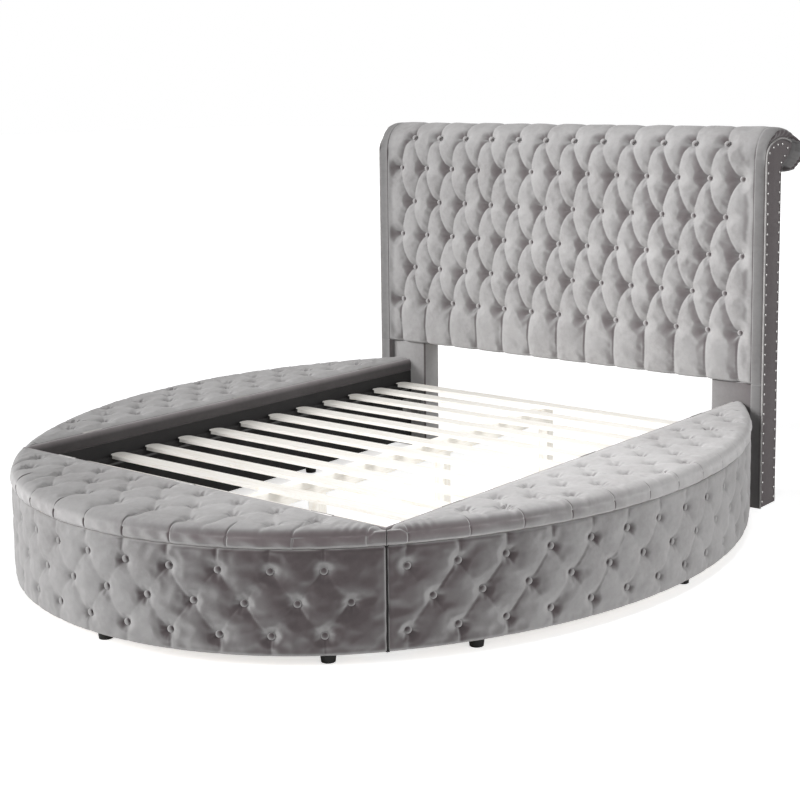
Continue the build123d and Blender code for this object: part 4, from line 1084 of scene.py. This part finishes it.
# Beside the wings the padding comes up level with their fronts.
sunk = sunk - WING_LIFT * (1 - ramp(from_wing, 0, 0.035)) * (1 - ramp(up, 1.25, 1.32))
rings = np.zeros((len(columns), count + 4, 3))
rings[:, :, 0] = columns[:, None]
rings[:, :count, 1] = HEAD_Y + section[:, 0] - section_out[:, 0] * sunk
rings[:, :count, 2] = up - section_out[:, 1] * sunk
held = held_at(sunk, (0.003, 0.013), (0.004, 0.04), from_wing, t - SEAM_Z)
held = np.maximum(held, ramp(section[:, 0], 0.12, 0.2))
rings[:, :count] = filled("headboard_cloth", rings[:, :count], held, 1.3, 0.005, 0.004)
for k, (y, z) in enumerate([(BACK_Y - 0.004, 1.292), (0.030, 1.292), (0.021, 1.285), (0.021, SEAM_Z)]):
    rings[:, count + k, 1:] = HEAD_Y + y, z
head_front = skin("headboard_velvet", rings)
soft_piece(head_front, velvet_head_lit_and_shaded, "bed", "velvet", 0.7, "headboard_pad", "roll_pad")
print("headboard front made:", len(head_front.data.vertices), "points")

# %% Headboard buttons
crest = Vector((0, HEAD_Y + FRONT_Y + ROLL_RADIUS, SPRING_Z))
head_places = []
for seat in head_seats:
    outward = Vector((0, -1, 0))
    if seat.z >= SPRING_Z:
        outward = (Vector((0, seat.y, seat.z)) - crest).normalized()
    head_places.append((seat - outward * BUTTON_HALF_HEIGHT, outward))
domes = scattered("headboard_button_domes", BUTTON, head_places, 0.001)
soft_piece(domes, velvet_grey, "bed", "velvet", 0.9, "headboard_buttons")

# %% [markdown]
# ## Wings and roll ends
# A flat upholstered wing closes each side of the headboard. Its facing has the outline of
# a hockey stick, edged with a light cord and bright nails. The velvet turns round its front
# edge, and behind the blade's tip the roll's end bulges out in gathers. The surface is
# swept from the roll's outline at the wing's inner side to the facing's outline.

# %% Outlines of the wing
FACING_X = 0.932
WING_FRONT = -0.026
WING_REAR = 0.114
INNER_FRONT = -0.0245
BEND_RADIUS = 0.072
BEND_Z = 1.322


def resampled(points, count):
    """Points evenly spaced along a line."""
    points = np.array(points)
    run = np.concatenate([[0], np.cumsum(np.linalg.norm(np.diff(points, axis=0), axis=1))])
    wanted = np.linspace(0, run[-1], count)
    return np.stack([np.interp(wanted, run, points[:, k]) for k in range(2)], -1)


bend_centre = (WING_FRONT + BEND_RADIUS, BEND_Z)
bend = arc_points(bend_centre, BEND_RADIUS, math.pi, math.pi - math.radians(65), 0.004)
y, z = bend[-1]
rising, fall = math.radians(25), math.radians(28)
radius = (0.204 - y) / (math.sin(rising) + math.sin(fall))
centre = (y + radius * math.sin(rising), z - radius * math.cos(rising))
blade = arc_points(centre, radius, math.pi / 2 + rising, math.pi / 2 - fall, 0.004)
return_line = [blade[-1], (0.193, 1.354), (0.158, 1.324), (0.120, 1.301), (WING_REAR, 1.290)]

front_stations = np.sort(np.concatenate([
    [0, 0.001, 0.004, 0.01], np.arange(0.02, 1.316, 0.012), SEAM_Z + np.array([-3, -1.5, 0, 1.5, 3]) * 0.001,
]))
rear_stations = np.concatenate([np.arange(1.284, 0.016, -0.03), [0.01, 0.004, 0.001, 0]])
facing_top = np.array(bend + blade[1:])
facing_return = resampled(return_line, 46)

# The outline at the inner side: up the front, round the roll, and down the back.
roll_part = roll_outline[roll_outline[:, 1] > 1.2745]
nose = np.argmax(roll_part[:, 0]) - 8
inner_top = resampled(np.concatenate([[(INNER_FRONT, BEND_Z)], roll_part[2:nose]]), len(facing_top))
inner_return = resampled(np.concatenate([roll_part[nose:], [(WING_REAR, 1.272)]]), len(facing_return))

outer_loop = np.concatenate([
    upright(WING_FRONT, front_stations), facing_top, facing_return[1:], upright(WING_REAR, rear_stations),
])
inner_loop = np.concatenate([
    upright(INNER_FRONT, front_stations), inner_top, inner_return[1:],
    upright(WING_REAR, rear_stations * (1.268 / 1.284)),
])
front_end = len(front_stations)
first_return = front_end + len(facing_top)
last_return = first_return + len(facing_return) - 2
position = np.arange(len(outer_loop))
bulging = between(position, first_return - 14, first_return + 8, last_return - 6, last_return + 1)
on_top = between(position, front_end - 4, front_end + 12, last_return - 4, last_return + 2)
print("wing outline points", len(outer_loop), len(inner_loop))

# %% Sweeping a wing


def wing_rings():
    """Rings from the wing's inner side round its edge to the facing."""
    rings = []
    gathers = np.sin(position * 1.05) + 0.6 * np.sin(position * 1.9 + 1)
    past_cord = ramp(position, front_end + 8, front_end + 26)
    for turn in np.append(np.linspace(0, math.pi / 2, 15), math.pi / 2 + 0.12):
        # On the straight edges the corner is tight; on the roll it rounds over slowly.
        share, turn = min(turn / (math.pi / 2), 1.0), min(turn, math.pi / 2)
        opened, reach = 1 - math.cos(turn), math.sin(turn) ** 0.8
        inward = opened**3.2 * (1 - on_top) + opened**1.35 * on_top
        out = min(1.0, share * 1.12) * (1 - on_top) + reach * on_top
        place = inner_loop + (outer_loop - inner_loop) * inward[:, None]
        edge = inward * (1 - on_top) * 0.004
        place[:, 0] += np.where(position < front_end, edge, 0) - np.where(position > last_return, edge, 0)
        swell = 0.014 * bulging * np.sin(np.pi * share**1.5) * 1.1
        swell = swell + 0.013 * bulging * reach * (1 - 0.75 * ramp(share, 0.75, 1.0))
        ripple = 0.0011 * gathers * bulging * math.sin(math.pi * share) * share
        # The padding is full over the top too, and its cloth gathers towards the tip.
        fullness = on_top * past_cord * math.sin(math.pi * share**1.2)
        x = WING_X + (FACING_X - WING_X) * out + swell + ripple
        x = x + fullness * (0.013 + 0.0010 * np.sin(position * 0.9))
        # The seam that closes the padding's lower edge runs on round the wing's front.
        seam = 0.0016 * np.exp(-(((place[:, 1] - SEAM_Z) / 0.0018) ** 2)) * (position < front_end)
        rings.append(np.stack([x, HEAD_Y + place[:, 0] + seam, place[:, 1]], -1))
    # The facing itself, slightly domed, as rings shrinking towards its middle line.
    last, (y, z) = rings[-1], outer_loop.T
    tip = z > 1.30
    spine_y = np.where(tip, np.clip(y, 0.044, 0.165), np.clip(y, 0.030, 0.058))
    spine_z = np.where(tip, np.clip(z, 1.33, 1.362), np.clip(z, 0.03, 1.36))
    middle = np.stack([np.zeros_like(y), HEAD_Y + spine_y, spine_z], -1)
    for share in (0.06, 0.16, 0.34, 0.62, 1.0):
        ring = last + (middle - last) * share
        ring[:, 0] = FACING_X - 0.0012 + 0.0010 * share
        rings.append(ring)
    return np.array(rings)


right_wing = skin("right_wing_velvet", wing_rings())
left_wing = mirrored(right_wing, "left_wing_velvet")
for wing, side in ((right_wing, "right"), (left_wing, "left")):
    soft_piece(wing, velvet_head_lit_and_shaded, "bed", "velvet", 0.9, f"{side}_wing")
    # The facings get the darker copy of the velvet: painted shade.
    wing.data.materials.append(velvet_wing_shade)
    for polygon in wing.data.polygons:
        if abs(polygon.normal.x) > 0.8 and abs(polygon.center.x) > FACING_X - 0.004:
            polygon.material_index = 1

# %% Nails
nail_places = [(Vector((FACING_X - 0.0004, seat.y, seat.z)), (1, 0, 0)) for seat in nail_seats]
nail_places += [(flipped(place), flipped(outward)) for place, outward in nail_places]
nails = scattered("nailhead_domes", NAIL, nail_places)
dress(nails, nickel)
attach(nails, "bed")
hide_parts("nailheads")

# %% [markdown]
# ## Legs, back cloth and tapes
# Below the seam the headboard stands on two plain velvet legs. A black cloth is stapled
# over its back. Two tapes under the slats keep them at their pitch, and sag a little
# between them.

# %% Legs
LEG_X = (0.7085, 0.8865)
LEG_Y = (HEAD_Y + 0.0008, HEAD_Y + 0.1005)
LEG_TOP = SEAM_Z - 0.001
LEG_RADIUS = 0.008


def leg_rings(steps=5):
    """Rings of the right leg, an upright padded box with rounded corners and soft edges."""
    edge = [0, 0.001, 0.003, 0.006]
    rings = []
    for z in edge + list(np.linspace(0.03, LEG_TOP - 0.03, 24)) + [LEG_TOP - gap for gap in reversed(edge)]:
        reach = LEG_RADIUS - rolled(min(z, LEG_TOP - z), 0.006)
        ring = []
        for quarter, (right, back) in enumerate(((1, 1), (0, 1), (0, 0), (1, 0))):
            x = LEG_X[right] + (-LEG_RADIUS if right else LEG_RADIUS)
            y = LEG_Y[back] + (-LEG_RADIUS if back else LEG_RADIUS)
            for k in range(steps + 1):
                angle = math.pi / 2 * (quarter + k / steps)
                ring.append((x + reach * math.cos(angle), y + reach * math.sin(angle), z))
        rings.append(ring)
    return np.array(rings)


right_leg = skin("right_leg_velvet", leg_rings())
left_leg = mirrored(right_leg, "left_leg_velvet")
soft_piece(right_leg, velvet_grey, "bed", "velvet", 0.95, "leg_covers")
soft_piece(left_leg, velvet_grey, "bed", "velvet", 0.95)

# %% Back cloth
BACK_X = 0.886
BACK_LOW, BACK_HIGH = 0.477, 1.2895
BACK_SAG = 0.0018
CLOTH_THICKNESS = 0.0008
across_back = np.linspace(-BACK_X, BACK_X, 90)
up_back = np.linspace(BACK_LOW, BACK_HIGH, 46)
grid_x, grid_z = np.meshgrid(across_back, up_back, indexing="ij")
slack = np.sin(np.pi * (grid_x + BACK_X) / (2 * BACK_X))
slack = (slack * np.sin(np.pi * (grid_z - BACK_LOW) / (BACK_HIGH - BACK_LOW))) ** 0.5
face = HEAD_Y + 0.0948 - BACK_SAG * slack + ruffle(grid_x, grid_z, 71, 0.2, BACK_SAG * 0.3) * slack
rings = np.zeros((len(across_back), 2 * len(up_back), 3))
rings[:, :, 0] = across_back[:, None]
rings[:, :, 1] = np.concatenate([face, (face - CLOTH_THICKNESS)[:, ::-1]], 1)
rings[:, :, 2] = np.concatenate([up_back, up_back[::-1]])
back_cloth = skin("back_panel_cloth", rings)
dress(back_cloth, black_cloth)
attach(back_cloth, "bed")
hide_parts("back_cloth")

# %% Tapes
SLAT_UNDER = 0.293
SLAT_PITCH = 0.160
LAST_SLAT_Y = HEAD_Y - 0.101
FIRST_SLAT_Y = LAST_SLAT_Y - 11 * SLAT_PITCH
TAPE_X = 0.698
TAPE_HALF_WIDTH = 0.012
TAPE_THICKNESS = 0.0009
TAPE_OVER = 0.030


def tape_rings(x):
    """Rings of one tape along the bed, which dips between the slats."""
    ys = np.linspace(FIRST_SLAT_Y - TAPE_OVER, LAST_SLAT_Y + TAPE_OVER, 260)
    from_slat = np.abs(((ys - FIRST_SLAT_Y) / SLAT_PITCH + 0.5) % 1 - 0.5) * 2
    top = SLAT_UNDER - 0.0002 - 0.0014 * ramp(from_slat, 0.42, 1.0)
    corners = ((-TAPE_HALF_WIDTH, 0), (TAPE_HALF_WIDTH, 0), (TAPE_HALF_WIDTH, 1), (-TAPE_HALF_WIDTH, 1))
    sides = [(np.full_like(ys, x + dx), ys, top - TAPE_THICKNESS * down) for dx, down in corners]
    return np.stack([np.stack(side, -1) for side in sides], 1)


tapes = [skin(name, tape_rings(x)) for name, x in (("right_tape", TAPE_X), ("left_tape", -TAPE_X))]
for tape in tapes:
    dress(tape, tape_cloth)
    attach(tape, "bed")
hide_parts("slat_tapes")

# %% [markdown]
# ## Timber, hardware and feet
# The hard pieces keep the shape they have in the frame. They get their grain and finish
# here, and a small bevel takes the sawn sharpness off the slats.

# %% Finishes of the hard pieces
FINISHES = (
    (plywood, ("_bench_wall", "_bench_floor", "_lid_board", "headboard_board", "roll_former")),
    (steel, ("_lid_leaves", "frame_leaves", "hinge_pins", "joining_hardware")),
    (black_cloth, ("_bench_rail", "slat_ledges")),
    (black_plastic, ("slat_caps", "bench_feet")),
    (pine_along, ("centre_rail",)),
    (pine_upright, ("centre_legs", "headboard_posts")),
    (pine_across, ("cross_rails",)),
    (cord_cloth, ("side_piping",)),
)
for node, piece in nodes.items():
    for material, endings in FINISHES:
        if node.endswith(endings):
            dress(piece, material)
    if node.startswith("slat_") and node[5:].isdigit():
        dress(piece, pine_across)
        bevel = piece.modifiers.new("eased_edges", "BEVEL")
        bevel.width = 0.0022
        bevel.segments = 2
        bevel.limit_method = "ANGLE"

# %% [markdown]
# ## Floor, light and camera
# A pale floor and a white surround stand in for a studio. Two broad distant lamps light
# the bed from the front left and from the right, and two small soft ones light the
# headboard and the right bench. The camera looks a little down, and its frame is shifted
# down for the rest, as a shift lens does, which keeps upright edges nearly parallel.

# %% Floor
WHITE = (1, 1, 1, 1)
FLOOR_HALF = 40
mesh = bpy.data.meshes.new("studio_floor")
corners = [(x * FLOOR_HALF, y * FLOOR_HALF, 0) for x, y in ((-1, -1), (1, -1), (1, 1), (-1, 1))]
mesh.from_pydata(corners, [], [(0, 1, 2, 3)])
floor = placed("studio_floor", mesh)
material, tree, shader, place = new_material("pale_floor")
tone = blend_colours(tree, noise(tree, place, 40, 2), [(0.3, (0.86, 0.86, 0.86)), (0.7, (0.89, 0.89, 0.89))])
# The floor reads as white to the camera, while its shadow stays.
seen = add_node(tree, "LightPath").outputs["Is Camera Ray"]
glow = add_node(tree, "Math", {0: seen, 1: 0.66}, operation="MULTIPLY").outputs[0]
feed(tree, shader, {"Base Color": tone, "Roughness": 0.9, "Emission Color": WHITE, "Emission Strength": glow})
mesh.materials.append(material)

# %% World and lamps
world = bpy.data.worlds.new("studio_world")
bpy.context.scene.world = world
world.use_nodes = True
tree = world.node_tree
dim = tree.nodes["Background"]
feed(tree, dim, {"Color": WHITE, "Strength": 0.16})
bright = add_node(tree, "Background", {"Color": WHITE, "Strength": 1.0})
rays = add_node(tree, "LightPath").outputs
seen = add_node(tree, "Math", {0: rays["Is Camera Ray"], 1: rays["Is Glossy Ray"]}, operation="MAXIMUM")
switch = add_node(tree, "MixShader", {"Fac": seen.outputs[0], 1: dim.outputs[0], 2: bright.outputs[0]})
feed(tree, tree.nodes["World Output"], {"Surface": switch.outputs[0]})


def aimed(name, kind, place, direction, **settings):
    """A lamp at a place that shines along a direction."""
    light = bpy.data.lights.new(name, kind)
    for setting, value in settings.items():
        setattr(light, setting, value)
    piece = placed(name, light)
    piece.location = place
    piece.rotation_mode = "QUATERNION"
    piece.rotation_quaternion = direction.to_track_quat("-Z", "Y")
    return piece


def sun(name, azimuth, elevation, spread, strength):
    """A distant soft lamp from a compass direction, in degrees from +X."""
    turn, lift = math.radians(azimuth), math.radians(elevation)
    source = Vector((math.cos(turn) * math.cos(lift), math.sin(turn) * math.cos(lift), math.sin(lift)))
    return aimed(name, "SUN", (0, 0, 0), -source, angle=math.radians(spread), energy=strength * math.pi)


def lamp(name, place, target, size, power):
    """A square soft lamp aimed at a point."""
    aim = Vector(target) - Vector(place)
    return aimed(name, "AREA", place, aim, size=size, energy=power, spread=math.radians(70))


sun("key_sun", -125, 25, 25, 0.78)
sun("side_sun", 8, 24, 30, 0.36)
lamp("head_lamp", (0.5, -2.4, 2.0), (0.35, 1.1, 0.72), 1.0, 12)
lamp("bench_lamp", (1.35, -0.1, 2.6), (1.02, -0.1, 0.4), 0.5, 3.5)

# A white studio floor throws light up under the slats. This lamp stands in for it and
# lights only the rail and legs in the middle.
bounce = sun("floor_bounce", -52, 14, 30, 0.6)
lit, shading = (bpy.data.collections.new(name) for name in ("timber_under_slats", "floor_only"))
for name in ("centre_rail", "centre_legs"):
    lit.objects.link(nodes[name])
shading.objects.link(floor)
bounce.light_linking.receiver_collection = lit
bounce.light_linking.blocker_collection = shading

# %% Camera
YAW, PITCH, ROLL = math.radians(37.564), math.radians(7.311), -0.0072
forward = Vector((-math.sin(YAW) * math.cos(PITCH), math.cos(YAW) * math.cos(PITCH), -math.sin(PITCH)))
level = Vector((math.cos(YAW), math.sin(YAW), 0))
right = level * math.cos(ROLL) + level.cross(forward) * math.sin(ROLL)
camera_data = bpy.data.cameras.new("camera")
camera_data.lens = 68.5
camera_data.sensor_width = 36
camera_data.shift_x = -0.0663
camera_data.shift_y = -0.15
camera = placed("camera", camera_data)
turn = Matrix((right, right.cross(forward), -forward)).transposed().to_4x4()
camera.matrix_world = Matrix.Translation((3.4514, -4.0994, 1.6099)) @ turn
bpy.context.scene.camera = camera
bpy.context.scene.view_settings.view_transform = "Standard"
